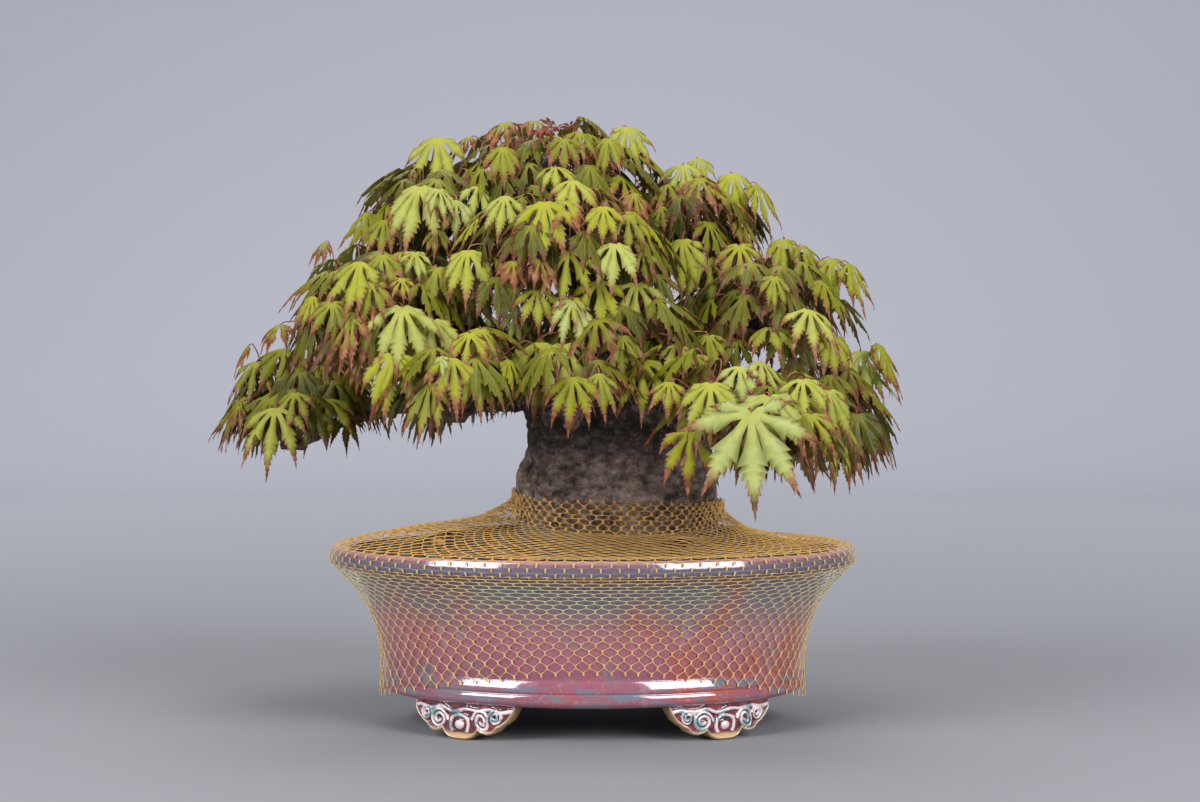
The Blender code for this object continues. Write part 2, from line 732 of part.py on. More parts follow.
def twig_groups(hub, leaves):
    """Leaves in groups that share a twig, taken in order round the hub."""
    ordered = sorted(leaves, key=lambda leaf: math.atan2(leaf[0].y - hub.y, leaf[0].x - hub.x))
    count = max(1, round(len(ordered) / LEAVES_A_TWIG))
    bounds = [round(i * len(ordered) / count) for i in range(count + 1)]
    return [ordered[low:high] for low, high in zip(bounds, bounds[1:])]


def twig_bmesh(start, end, radius=TWIG_RADIUS):
    reach = end - start
    bm = bmesh.new()
    bmesh.ops.create_cone(bm, cap_ends=True, segments=TWIG_SIDES, radius1=radius, radius2=TWIG_TIP_RADIUS,
                          depth=reach.length)
    turn = Vector((0, 0, 1)).rotation_difference(reach).to_matrix().to_4x4()
    bmesh.ops.transform(bm, matrix=Matrix.Translation((start + end) / 2) @ turn, verts=bm.verts)
    return bm


def crosses(bm, pad, taken):
    """Whether a piece of a pad meets anything that belongs to another node."""
    own = BVHTree.FromBMesh(bm)
    return any(own.overlap(tree) for other, trees in taken.items() if other != pad for tree in trees)


def clear_twig(pad, fork, end, taken):
    """A twig to the place, lifted until it crosses nothing, with where it ends; or None."""
    for lift in TWIG_LIFTS:
        raised = end + Vector((0, 0, lift))
        twig = twig_bmesh(fork, raised)
        if not crosses(twig, pad, taken):
            return twig, raised
        twig.free()
    return None


def clear_leaf(pad, pose, joint, taken):
    """A leaf, turned a little or made smaller until it crosses no other node; or None."""
    place, frame, length, droop = pose
    for turn, share in LEAF_TRIES:
        turned = Matrix.Rotation(turn, 3, "Z") @ frame
        blade = leaf_bmesh((place, turned, length * share, droop), joint)
        if not crosses(blade, pad, taken):
            return blade
        blade.free()
    return None


def plan_twigs(pad, taken):
    """A pad's stub of branch and its twigs, and each twig's leaves with the points where they spring."""
    hub, heading = pad_hub(pad), branch_end_heading(pad)
    fork = hub + heading * STUB_LENGTH * STUB_FORK
    wood = [twig_bmesh(hub + heading * CLEARANCE, hub + heading * STUB_LENGTH, STUB_RADIUS)]
    leaves = []
    poses = [leaf_pose(pad, *place) for place in leaf_places(pad, LEAF_SPACING)]
    for group in twig_groups(hub, poses):
        mean = sum((pose[0] for pose in group), Vector()) / len(group)
        made = clear_twig(pad, fork, fork.lerp(mean, TWIG_REACH), taken)
        if made is None:
            continue
        twig, end = made
        wood.append(twig)
        leaves += [(pose, fork.lerp(end, LAST_JOINT - JOINT_STEP * i)) for i, pose in enumerate(group)]
    taken[pad] = [BVHTree.FromBMesh(piece) for piece in wood]
    return wood, leaves


def make_pads(parts, trunk, leaf_green):
    """Each pad is one solid: its stub of branch, its twigs, and the leaves that cross no other node."""
    bm = bmesh.new()
    bm.from_mesh(trunk.data)
    taken = {"trunk": [BVHTree.FromBMesh(bm)]}
    bm.free()
    plans = {pad: plan_twigs(pad, taken) for pad in PADS}
    for pad, (wood, leaves) in plans.items():
        blades = []
        for pose, joint in leaves:
            blade = clear_leaf(pad, pose, joint, taken)
            if blade is not None:
                blades.append(blade)
                taken[pad].append(BVHTree.FromBMesh(blade))
        base = object_from_bmesh(pad, wood[0], parts, leaf_green)
        loose = [object_from_bmesh(f"{pad}_twig", twig, parts) for twig in wood[1:]]
        loose += [object_from_bmesh(f"{pad}_leaf", blade, parts, outward=False) for blade in blades]
        join_pieces(base, loose)
        spare = keep_largest_shell(base)
        triangles = sum(len(face.vertices) - 2 for face in base.data.polygons)
        print(f"{pad}: {len(blades)} of {len(leaves)} leaves, {triangles} triangles, {spare} shells dropped")


def centre_on_origin(parts):
    """Moves everything so that the middle of the whole box is over the origin."""
    bpy.context.view_layer.update()
    graph = bpy.context.evaluated_depsgraph_get()
    corners = [
        obj.evaluated_get(graph).matrix_world @ Vector(corner)
        for obj in parts.objects
        for corner in obj.evaluated_get(graph).bound_box
    ]
    middle_x = (min(c.x for c in corners) + max(c.x for c in corners)) / 2
    middle_y = (min(c.y for c in corners) + max(c.y for c in corners)) / 2
    for obj in bpy.data.objects:
        obj.location -= Vector((middle_x, middle_y, 0))
    print(f"pot's middle at {-middle_x:.5f} {-middle_y:.5f}")


def main():
    clear_scene()
    parts = make_collection("maple_bonsai")
    cutters = make_collection("cutters", hidden=True)
    glaze = make_material("glaze", (0.42, 0.19, 0.20), 0.12)
    akadama = make_material("akadama", (0.21, 0.12, 0.05), 0.95)
    bark = make_material("bark", (0.07, 0.055, 0.047), 0.90)
    leaf_green = make_material("leaf", (0.38, 0.43, 0.07), 0.55)
    cord = make_material("net_cord", (0.55, 0.36, 0.14), 0.70)
    plastic = make_material("screen_plastic", (0.03, 0.03, 0.03), 0.60)
    make_pot(parts, cutters, glaze)
    make_soil(parts, cutters, akadama)
    for name, side in (("drain_screen_left", -1), ("drain_screen_right", 1)):
        make_screen(name, side, parts, cutters, plastic)
    make_net(parts, cord)
    trunk = make_trunk(parts, bark)
    make_pads(parts, trunk, leaf_green)
    centre_on_origin(parts)


main()
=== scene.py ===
"""Japanese maple bonsai in a glazed oval pot: its looks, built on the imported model.

Metres, +Z up. The side that the camera sees faces -Y. Pieces are worked out round the middle of the pot
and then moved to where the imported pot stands.
"""

import math
import random

import bmesh
import bpy
import numpy as np
from mathutils import Matrix, Vector, noise


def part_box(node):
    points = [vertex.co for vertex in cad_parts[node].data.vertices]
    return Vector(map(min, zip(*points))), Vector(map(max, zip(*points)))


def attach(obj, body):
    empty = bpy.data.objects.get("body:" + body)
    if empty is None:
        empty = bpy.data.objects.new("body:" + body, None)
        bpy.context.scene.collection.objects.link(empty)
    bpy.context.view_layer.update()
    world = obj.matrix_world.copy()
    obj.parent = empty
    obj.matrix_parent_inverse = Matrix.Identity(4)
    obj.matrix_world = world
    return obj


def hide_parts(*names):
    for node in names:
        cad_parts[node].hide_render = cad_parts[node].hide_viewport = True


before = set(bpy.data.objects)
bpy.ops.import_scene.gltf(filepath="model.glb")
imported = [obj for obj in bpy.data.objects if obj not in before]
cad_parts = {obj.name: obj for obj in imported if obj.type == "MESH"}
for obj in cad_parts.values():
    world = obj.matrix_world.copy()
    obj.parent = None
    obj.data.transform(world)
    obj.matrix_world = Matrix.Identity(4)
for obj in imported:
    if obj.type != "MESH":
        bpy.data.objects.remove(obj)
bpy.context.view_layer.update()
scene = bpy.context.scene
pot_low, pot_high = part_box("pot")
POT_MIDDLE = Vector(((pot_low.x + pot_high.x) / 2, (pot_low.y + pot_high.y) / 2, 0))

# The set: a pale studio sweep, two tall softboxes before the tree, one above it and a weak one behind, and the camera
# a little over a metre away, as high as the upper leaves. None of it is part of the tree.
CAMERA_DISTANCE = 1.10
CAMERA_HEIGHT = 0.1728
CAMERA_ASIDE = 0.0034
CAMERA_LENS = 72.2
SENSOR_WIDTH = 36.0
CAMERA_PITCH = math.radians(1.38)
SWEEP_HALF_WIDTH = 6.0
SWEEP_FRONT = -6.0
SWEEP_BACK = 1.6
SWEEP_RADIUS = 0.9
SWEEP_TOP = 4.0
# Painted shade: the sweep is painted darkest under the tree, fading out to the paper's own pale grey.
SWEEP_SHADE_AND_PAPER_COLOURS = ((0.220, 0.224, 0.242), (0.520, 0.530, 0.584))  # under the tree, and well away from it
SWEEP_SHADE_REACH = 2.2
WORLD_COLOUR = (0.86, 0.88, 0.94)
WORLD_STRENGTH = 0.36
# Softboxes: (place, size, power), all aimed at the middle of the tree
SOFTBOXES = (
    ((-1.34, -1.26, 1.10), (1.05, 1.20), 37.0),
    ((1.18, -1.40, 1.05), (1.15, 1.20), 37.0),
    ((0.10, -0.10, 1.90), (1.3, 1.0), 14.0),
    ((-0.30, 1.60, 1.70), (1.2, 0.8), 9.0),
)
LIGHT_AIM = Vector((0, 0, 0.14))


def add_object(name, data):
    obj = bpy.data.objects.new(name, data)
    scene.collection.objects.link(obj)
    return obj


def node(tree, kind, inputs=None, **settings):
    """A shader node with its settings, and its inputs set to values or linked to sockets."""
    made = tree.nodes.new(kind)
    for key, value in settings.items():
        setattr(made, key, value)
    for key, value in (inputs or {}).items():
        if isinstance(value, bpy.types.NodeSocket):
            tree.links.new(value, made.inputs[key])
        else:
            made.inputs[key].default_value = value
    return made


def new_material(name, roughness):
    """A material, with its node tree and its Principled shader."""
    material = bpy.data.materials.new(name)
    material.use_nodes = True
    shader = material.node_tree.nodes["Principled BSDF"]
    shader.inputs["Roughness"].default_value = roughness
    return material, material.node_tree, shader


def opaque(colour):
    return (*colour, 1.0)


def ramp(tree, factor, stops):
    """The colour of a colour ramp at a factor. Stops are (position, colour)."""
    made = node(tree, "ShaderNodeValToRGB", {"Fac": factor})
    elements = made.color_ramp.elements
    while len(elements) < len(stops):
        elements.new(0.5)
    for element, (position, colour) in zip(elements, stops):
        element.position = position
        element.color = opaque(colour)
    return made.outputs["Color"]


def mix(tree, factor, first, second):
    """A colour between two, each a socket or a plain colour."""
    made = node(tree, "ShaderNodeMix", data_type="RGBA")
    for key, value in ((0, factor), (6, first), (7, second)):
        if isinstance(value, bpy.types.NodeSocket):
            tree.links.new(value, made.inputs[key])
        elif key == 0:
            made.inputs[key].default_value = value
        else:
            made.inputs[key].default_value = opaque(value)
    return made.outputs[2]


def math_node(tree, operation, *values):
    made = node(tree, "ShaderNodeMath", operation=operation)
    for socket, value in zip(made.inputs, values):
        if isinstance(value, bpy.types.NodeSocket):
            tree.links.new(value, socket)
        else:
            socket.default_value = value
    return made.outputs[0]


def between(tree, value, low, high):
    """0 below low, 1 above high, and smooth between."""
    made = node(tree, "ShaderNodeMapRange", {"Value": value, "From Min": low, "From Max": high},
                interpolation_type="SMOOTHSTEP")
    return made.outputs["Result"]


def place_of(tree, scale=(1, 1, 1)):
    """Object coordinates, stretched by a scale."""
    coordinates = node(tree, "ShaderNodeTexCoord").outputs["Object"]
    return node(tree, "ShaderNodeMapping", {"Vector": coordinates, "Scale": scale}).outputs["Vector"]


def noise_of(tree, place, scale, detail=4.0, roughness=0.55):
    made = node(tree, "ShaderNodeTexNoise",
                {"Vector": place, "Scale": scale, "Detail": detail, "Roughness": roughness})
    return made.outputs["Fac"]


def bump(tree, shader, height, distance, strength=1.0):
    made = node(tree, "ShaderNodeBump", {"Height": height, "Distance": distance, "Strength": strength})
    tree.links.new(made.outputs["Normal"], shader.inputs["Normal"])


camera_data = bpy.data.cameras.new("camera")
camera_data.lens = CAMERA_LENS
camera_data.sensor_width = SENSOR_WIDTH
camera = add_object("camera", camera_data)
camera.location = POT_MIDDLE + Vector((CAMERA_ASIDE, -CAMERA_DISTANCE, CAMERA_HEIGHT))
camera.rotation_euler = (math.pi / 2 - CAMERA_PITCH, 0, 0)
scene.camera = camera
scene.view_settings.view_transform = "Standard"

bm = bmesh.new()
start = [(-SWEEP_HALF_WIDTH, SWEEP_FRONT, 0), (SWEEP_HALF_WIDTH, SWEEP_FRONT, 0)]
front = [bm.verts.new(corner) for corner in start]
edge = bm.edges.new(front)
made = bmesh.ops.extrude_edge_only(bm, edges=[edge])["geom"]
back = [item for item in made if isinstance(item, bmesh.types.BMVert)]
bmesh.ops.translate(bm, verts=back, vec=(0, SWEEP_BACK - SWEEP_FRONT, 0))
rim = [item for item in made if isinstance(item, bmesh.types.BMEdge)
       and all(vertex in back for vertex in item.verts)]
turned = bmesh.ops.spin(bm, geom=rim, cent=(0, SWEEP_BACK, SWEEP_RADIUS), axis=(1, 0, 0),
                        angle=math.pi / 2, steps=24)["geom_last"]
top = [item for item in turned if isinstance(item, bmesh.types.BMEdge)]
made = bmesh.ops.extrude_edge_only(bm, edges=top)["geom"]
bmesh.ops.translate(bm, verts=[item for item in made if isinstance(item, bmesh.types.BMVert)],
                    vec=(0, 0, SWEEP_TOP))
bmesh.ops.recalc_face_normals(bm, faces=bm.faces)
sweep_mesh = bpy.data.meshes.new("sweep")
bm.to_mesh(sweep_mesh)
bm.free()
sweep_mesh.shade_smooth()
sweep = add_object("sweep", sweep_mesh)
sweep_material, sweep_tree, sweep_shader = new_material("studio_paper", 0.9)
sweep_away = node(sweep_tree, "ShaderNodeVectorMath", {0: place_of(sweep_tree)}, operation="LENGTH").outputs["Value"]
# Painted shade: the paper darkens towards the tree.
sweep_shaded_colour = mix(sweep_tree, between(sweep_tree, sweep_away, 0.0, SWEEP_SHADE_REACH), *SWEEP_SHADE_AND_PAPER_COLOURS)
sweep_tree.links.new(sweep_shaded_colour, sweep_shader.inputs["Base Color"])
sweep_mesh.materials.append(sweep_material)

for i, (place, size, power) in enumerate(SOFTBOXES):
    light = bpy.data.lights.new(f"softbox_{i}", "AREA")
    light.shape = "RECTANGLE"
    light.size, light.size_y = size
    light.energy = power
    lamp = add_object(f"softbox_{i}", light)
    lamp.location = place
    lamp.rotation_euler = (LIGHT_AIM - Vector(place)).to_track_quat("-Z", "Y").to_euler()

world = bpy.data.worlds.new("studio")
world.use_nodes = True
background = world.node_tree.nodes["Background"]
background.inputs["Color"].default_value = opaque(WORLD_COLOUR)
background.inputs["Strength"].default_value = WORLD_STRENGTH
scene.world = world

# Pot: stoneware, pressed as a true oval with a rolled rim band and two beads round the base, glazed in
# grey-blue that breaks to plum, and fired standing on the bare clay of its feet.
DEPTH_RATIO = 0.74
FOOT_HEIGHT = 0.015
FLOOR_TOP = 0.0215
POT_TURNS = 168
# Outer side from the rim's top down, then along the underside: (half length, height)
RIM_LINE = ((0.1130, 0.0803), (0.1155, 0.0806), (0.1172, 0.0804), (0.1180, 0.0797), (0.1184, 0.0786),
            (0.1188, 0.0772), (0.1190, 0.0757), (0.1188, 0.0740), (0.1180, 0.0728), (0.1164, 0.0719))
WALL_LINE = ((0.1140, 0.0714), (0.1110, 0.0705), (0.1083, 0.0685), (0.1062, 0.0650), (0.1042, 0.0605),
             (0.1022, 0.0555), (0.1001, 0.0500), (0.0983, 0.0440), (0.0968, 0.0380), (0.0955, 0.0320),
             (0.0945, 0.0280))
BEAD_LINE = ((0.0944, 0.0273), (0.0948, 0.0268), (0.0954, 0.0254), (0.0959, 0.0238), (0.0961, 0.0226),
             (0.0957, 0.0219), (0.0957, 0.0214), (0.0962, 0.0208), (0.0966, 0.0195), (0.0967, 0.0182),
             (0.0962, 0.0170), (0.0945, 0.0159), (0.0915, 0.0152))
INSIDE_LINE = ((0.1118, 0.0797), (0.1114, 0.0775), (0.1060, 0.0700), (0.0989, 0.0610), (0.0948, 0.0512),
               (0.0916, 0.0403), (0.0895, 0.0250), (0.0870, FLOOR_TOP))
DRAIN_RADIUS = 0.007
DRAIN_X = 0.045


def smooth_line(points, parts):
    """A line through the points with no corners, with that many parts between each two."""
    ends = [points[0], *points, points[-1]]
    line = []
    for a, b, c, d in zip(ends, ends[1:], ends[2:], ends[3:]):
        for i in range(parts):
            t = i / parts
            line.append(tuple(
                0.5 * (2 * q + (r - p) * t + (2 * p - 5 * q + 4 * r - s) * t**2 + (3 * q - p - 3 * r + s) * t**3)
                for p, q, r, s in zip(a, b, c, d)))
    return [*line, points[-1]]


def piece_from(bm, name, material, smooth=True):
    """The finished mesh as an object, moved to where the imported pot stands."""
    mesh = bpy.data.meshes.new(name)
    bm.to_mesh(mesh)
    bm.free()
    mesh.transform(Matrix.Translation(POT_MIDDLE))
    if smooth:
        mesh.shade_smooth()
    mesh.materials.append(material)
    return add_object(name, mesh)


def turned(profile, steps):
    """A profile of (half length, height), turned round the pot's middle and squeezed to its oval."""
    bm = bmesh.new()
    line = [bm.verts.new((half, 0, height)) for half, height in profile]
    edges = [bm.edges.new(pair) for pair in zip(line, line[1:])]
    bmesh.ops.spin(bm, geom=[*line, *edges], cent=(0, 0, 0), axis=(0, 0, 1), angle=2 * math.pi,
                   steps=steps, use_merge=True)
    bmesh.ops.remove_doubles(bm, verts=bm.verts, dist=0.00001)
    bmesh.ops.scale(bm, verts=bm.verts, vec=(1, DEPTH_RATIO, 1))
    bmesh.ops.recalc_face_normals(bm, faces=bm.faces)
    return bm


def oval_point(half, turn, height=0.0):
    return Vector((half * math.cos(turn), half * DEPTH_RATIO * math.sin(turn), height))


def glaze_material(name, on_feet=False):
    """Thick glaze: grey-blue where it ran thin under the rim, plum below, broken by streaks and freckles."""
    material, tree, shader = new_material(name, 0.13)
    height = node(tree, "ShaderNodeSeparateXYZ", {"Vector": place_of(tree)}).outputs["Z"]
    drift = noise_of(tree, place_of(tree, (1, 1, 0.40)), 30.0, 6.0, 0.62)
    run = math_node(tree, "MULTIPLY", math_node(tree, "SUBTRACT", drift, 0.5), 0.046)
    share = math_node(tree, "DIVIDE", math_node(tree, "ADD", height, run), 0.0805)
    colour = ramp(tree, share, (
        (0.08, (0.215, 0.068, 0.098)),
        (0.30, (0.265, 0.083, 0.125)),
        (0.42, (0.318, 0.097, 0.146)),
        (0.60, (0.342, 0.130, 0.182)),
        (0.72, (0.240, 0.155, 0.190)),
        (0.82, (0.148, 0.162, 0.192)),
        (0.92, (0.185, 0.122, 0.155)),
    ))
    patches = between(tree, noise_of(tree, place_of(tree, (1, 1, 1.7)), 36.0, 7.0, 0.66), 0.53, 0.68)
    aside = node(tree, "ShaderNodeSeparateXYZ", {"Vector": place_of(tree)}).outputs["X"]
    thin_side = between(tree, aside, -0.030, -0.105)
    patches = math_node(tree, "MULTIPLY", patches, math_node(tree, "MULTIPLY_ADD", thin_side, 0.25, 0.75))
    colour = mix(tree, patches, colour, (0.145, 0.180, 0.200))
    red = between(tree, noise_of(tree, place_of(tree, (1, 1, 0.7)), 23.0, 5.0), 0.50, 0.64)
    red_side = math_node(tree, "MULTIPLY_ADD", between(tree, aside, 0.010, 0.080), 0.45, 0.40)
    colour = mix(tree, math_node(tree, "MULTIPLY", red, red_side), colour, (0.385, 0.075, 0.050))
    streaks = between(tree, noise_of(tree, place_of(tree, (1, 1, 0.16)), 170.0, 4.0, 0.6), 0.56, 0.72)
    colour = mix(tree, math_node(tree, "MULTIPLY", streaks, 0.30), colour, (0.33, 0.31, 0.34))
    rim = ramp(tree, math_node(tree, "DIVIDE", height, 0.0805), (
        (0.900, (0.130, 0.070, 0.075)), (0.925, (0.088, 0.080, 0.118)), (0.955, (0.125, 0.098, 0.138)),
        (0.978, (0.205, 0.110, 0.135)), (0.989, (0.430, 0.200, 0.205)), (1.0, (0.500, 0.310, 0.250))))
    colour = mix(tree, between(tree, height, 0.0700, 0.0732), colour, rim)
    banding = between(tree, noise_of(tree, place_of(tree, (1, 1, 4.5)), 60.0, 4.0, 0.6), 0.50, 0.62)
    on_band = math_node(tree, "SUBTRACT", 1.0, between(tree, height, 0.0262, 0.0285))
    colour = mix(tree, math_node(tree, "MULTIPLY", banding, on_band), colour, (0.150, 0.150, 0.200))
    freckles = between(tree, noise_of(tree, place_of(tree), 620.0, 2.0, 0.5), 0.60, 0.72)
    colour = mix(tree, math_node(tree, "MULTIPLY", freckles, 0.30), colour, (0.46, 0.38, 0.40))
    if on_feet:
        relief = node(tree, "ShaderNodeAttribute", attribute_name="relief").outputs["Fac"]
        bare = node(tree, "ShaderNodeAttribute", attribute_name="bare").outputs["Fac"]
        marble = noise_of(tree, place_of(tree), 190.0, 4.0, 0.6)
        # Painted highlight: the raised carving is painted pale, partly the glaze breaking thin over it and partly a
        # painted highlight.
        pale = between(tree, math_node(tree, "MULTIPLY_ADD", marble, 0.9, relief), 0.62, 1.10)
        teal = between(tree, noise_of(tree, place_of(tree), 150.0, 3.0), 0.53, 0.61)
        light = mix(tree, teal, (0.78, 0.66, 0.68), (0.24, 0.38, 0.41))
        pooled = mix(tree, between(tree, marble, 0.40, 0.62), (0.085, 0.012, 0.018), (0.26, 0.030, 0.050))
        colour = mix(tree, pale, pooled, light)
        colour = mix(tree, bare, colour, (0.60, 0.40, 0.20))
        rough = math_node(tree, "MULTIPLY_ADD", bare, 0.6, 0.12)
        tree.links.new(rough, shader.inputs["Roughness"])
    tree.links.new(colour, shader.inputs["Base Color"])
    shader.inputs["Coat Weight"].default_value = 0.8
    shader.inputs["Coat Roughness"].default_value = 0.05
    shader.inputs["Coat IOR"].default_value = 1.85
    bump(tree, shader, noise_of(tree, place_of(tree), 140.0, 3.0), 0.00018)
    return material


profile = [(0.0, FLOOR_TOP), *reversed(smooth_line(INSIDE_LINE, 2)), *smooth_line(RIM_LINE, 3),
           *smooth_line(WALL_LINE, 3), *smooth_line(BEAD_LINE, 3), (0.0, FOOT_HEIGHT)]
bm = turned(profile, POT_TURNS)
pot_body = piece_from(bm, "pot_body", glaze_material("pot_glaze"))
for side in (-1, 1):
    bm = bmesh.new()
    bmesh.ops.create_cone(bm, cap_ends=True, segments=48, radius1=DRAIN_RADIUS, radius2=DRAIN_RADIUS,
                          depth=FLOOR_TOP)
    bmesh.ops.translate(bm, verts=bm.verts, vec=(side * DRAIN_X, 0, (FLOOR_TOP + FOOT_HEIGHT) / 2))
    drill = piece_from(bm, "drill", pot_body.data.materials[0])
    hole = pot_body.modifiers.new("drain", "BOOLEAN")
    hole.operation = "DIFFERENCE"
    hole.object = drill
    hole.solver = "EXACT"
    made = bpy.data.meshes.new_from_object(pot_body.evaluated_get(bpy.context.evaluated_depsgraph_get()))
    pot_body.modifiers.clear()
    pot_body.data = made
    bpy.data.objects.remove(drill)
pot_body.data.set_sharp_from_angle(angle=math.radians(50))
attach(pot_body, "root")
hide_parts("pot")

# Feet: four cloud feet, pressed in one with the pot, each a curved bracket with a jewel in a ring between
# two scrolls. The glaze pools between the scrolls, the raised carving is painted pale, partly the glaze breaking
# thin over it and partly a painted highlight, and the foot's lower edge is wiped to bare clay.
FOOT_OUTER = 0.0940
FOOT_THICKNESS = 0.011
FOOT_SUNK = 0.0015
FOOT_HALF_ARC = 0.0265
FOOT_TURN = math.radians(52)
FOOT_COLUMNS = 124
FOOT_ROWS = 36
# Lower edge of half a foot: (share of the half arc, share of the foot's height)
FOOT_EDGE = ((0.00, 0.00), (0.11, 0.00), (0.17, 0.02), (0.23, 0.065), (0.28, 0.14), (0.34, 0.27), (0.40, 0.21), (0.50, 0.17),
             (0.60, 0.21), (0.68, 0.36), (0.74, 0.40), (0.86, 0.56), (0.94, 0.76), (1.00, 0.97))
JEWEL = (0.0, 0.0066, 0.0023)  # along the arc, height, radius
RING = (0.0046, 0.0009)  # radius round the jewel, half width
SCROLLS = ((0.0108, 0.0084, 0.0034), (0.0182, 0.0106, 0.0026))  # along the arc, height, radius
RELIEF = 0.0019


def oval_walk(half, start_turn, distance):
    """The turn reached by walking a distance along the oval, in small steps."""
    turn, steps = start_turn, 24
    for _ in range(steps):
        slope = Vector((-half * math.sin(turn), half * DEPTH_RATIO * math.cos(turn))).length
        turn += distance / steps / slope
    return turn


def interpolate(table, at):
    """The second value of a (key, value) table at a key between its rows, in whichever order the keys run."""
    rows = sorted(table)
    if at <= rows[0][0]:
        return rows[0][1]
    for (low, low_value), (high, high_value) in zip(rows, rows[1:]):
        if at <= high:
            return low_value + (high_value - low_value) * (at - low) / (high - low)
    return rows[-1][1]


def ridge(distance, half_width):
    """1 on a line and 0 beyond its half width, round between."""
    share = min(abs(distance) / half_width, 1.0)
    return math.sqrt(1 - share**2)


def foot_relief(along, height, above_edge):
    """How far the carving stands out at a point of a foot, from 0 to 1. The glaze softens its lines."""
    drift = noise.noise_vector(Vector((along, height, 0)) / 0.0075)
    along += 0.0014 * drift.x
    height += 0.0010 * drift.y
    jewel_x, jewel_z, jewel_radius = JEWEL
    ring_radius, ring_half = RING
    away = math.hypot(along - jewel_x, height - jewel_z)
    raised = 0.95 * ridge(away, jewel_radius)
    if height > jewel_z - 0.0030:
        raised = max(raised, 0.75 * ridge(away - ring_radius, ring_half))
    for scroll_x, scroll_z, radius in SCROLLS:
        x, z = abs(along) - scroll_x, height - scroll_z
        away, turn = math.hypot(x, z), math.atan2(z, x)
        for lap in range(2):
            spiral = radius * (0.22 + 0.55 * (turn + math.pi) / (2 * math.pi) + 0.55 * lap)
            raised = max(raised, 0.80 * ridge(away - spiral, 0.24 * radius))
    wave = 0.0133 + 0.0006 * math.sin(along / 0.0019)
    raised = max(raised, 0.62 * ridge(height - wave, 0.0011))
    rim = 0.85 * ridge(above_edge - 0.0007, 0.0009)
    return max(raised, rim)


def foot_bmesh(middle_turn):
    """One foot: a sheet that follows the oval, carved, then carried back to the foot's thickness."""
    bm = bmesh.new()
    bmesh.ops.create_grid(bm, x_segments=FOOT_COLUMNS, y_segments=FOOT_ROWS, size=1.0)
    relief = bm.verts.layers.float.new("relief")
    bare = bm.verts.layers.float.new("bare")
    inward = {}
    for vertex in bm.verts:
        share, level = vertex.co.x, (vertex.co.y + 1) / 2
        low = interpolate(FOOT_EDGE, abs(share)) * FOOT_HEIGHT
        height = low + (FOOT_HEIGHT + FOOT_SUNK - low) * level
        turn = oval_walk(FOOT_OUTER, middle_turn, share * FOOT_HALF_ARC)
        out = Vector((math.cos(turn), math.sin(turn) / DEPTH_RATIO, 0)).normalized()
        raised = foot_relief(share * FOOT_HALF_ARC, height, height - low)
        edge = min((1 - abs(share)) / 0.06, 1.0)
        vertex[relief] = raised
        vertex[bare] = min(max((0.0018 - (height - low)) / 0.0010, 0.0) + max((0.0034 - height) / 0.0008, 0.0), 1.0)
        tuck = 0.0012 * (1 - min((height - low) / 0.0015, 1.0)) ** 2
        vertex.co = oval_point(FOOT_OUTER, turn, height) + out * (RELIEF * raised * edge - 0.0006 - tuck)
        inward[vertex] = -out * FOOT_THICKNESS
    made = bmesh.ops.extrude_face_region(bm, geom=list(bm.faces), use_keep_orig=True)["geom"]
    copies = [item for item in made if isinstance(item, bmesh.types.BMVert)]
    for vertex in copies:
        turn = math.atan2(vertex.co.y / DEPTH_RATIO, vertex.co.x)
        out = Vector((math.cos(turn), math.sin(turn) / DEPTH_RATIO, 0)).normalized()
        vertex.co -= out * FOOT_THICKNESS
    bmesh.ops.recalc_face_normals(bm, faces=bm.faces)
    return bm


foot_glaze = glaze_material("foot_glaze", on_feet=True)
for name, middle_turn in (("foot_back_right", FOOT_TURN), ("foot_back_left", math.pi - FOOT_TURN),
                          ("foot_front_left", math.pi + FOOT_TURN), ("foot_front_right", -FOOT_TURN)):
    foot = piece_from(foot_bmesh(middle_turn), name, foot_glaze)
    foot.data.set_sharp_from_angle(angle=math.radians(60))
    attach(foot, "root")
    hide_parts("pot")

# Soil: coarse fired-clay grains, packed to a low mound under the net. The plastic grids that keep it off
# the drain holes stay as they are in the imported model.
SOIL_TURNS = 260
SOIL_EDGE = 0.0775
CLEARANCE = 0.00035
SOIL_LINE = ((0.1100, SOIL_EDGE), (0.0980, 0.0806), (0.0850, 0.0832), (0.0735, 0.0852), (0.0620, 0.0868),
             (0.0480, 0.0872), (0.0300, 0.0872))
GRAIN = 0.0030
GRAIN_RELIEF = 0.0011
CLODS = (((-0.068, -0.042), 0.0030), ((0.040, -0.052), 0.0014))  # where one lies, and how far it lifts the net
CLOD_HEIGHT = 0.0850
CLOD_SIZE = (0.0034, 0.0026, 0.0022)


def soil_material():
    material, tree, shader = new_material("akadama_grains", 0.92)
    cells = node(tree, "ShaderNodeTexVoronoi", {"Vector": place_of(tree), "Scale": 1 / GRAIN})
    tone = node(tree, "ShaderNodeSeparateColor", {"Color": cells.outputs["Color"]}).outputs["Red"]
    colour = ramp(tree, tone, ((0.0, (0.055, 0.029, 0.012)), (0.45, (0.170, 0.088, 0.027)),
                               (0.8, (0.34, 0.180, 0.053)), (1.0, (0.50, 0.29, 0.11))))
    for (x, y), _ in CLODS:
        away = node(tree, "ShaderNodeVectorMath", {0: place_of(tree), 1: POT_MIDDLE + Vector((x, y, CLOD_HEIGHT))},
                    operation="DISTANCE").outputs["Value"]
        colour = mix(tree, between(tree, away, 0.0050, 0.0036), colour, (0.48, 0.255, 0.105))
    # Painted shade: the gaps between the grains are darkened nearly to black.
    shaded_grain_gaps = between(tree, cells.outputs["Distance"], 0.35, 0.75)
    colour = mix(tree, shaded_grain_gaps, colour, (0.010, 0.007, 0.005))
    tree.links.new(colour, shader.inputs["Base Color"])
    bump(tree, shader, noise_of(tree, place_of(tree), 900.0, 4.0), 0.0004)
    return material


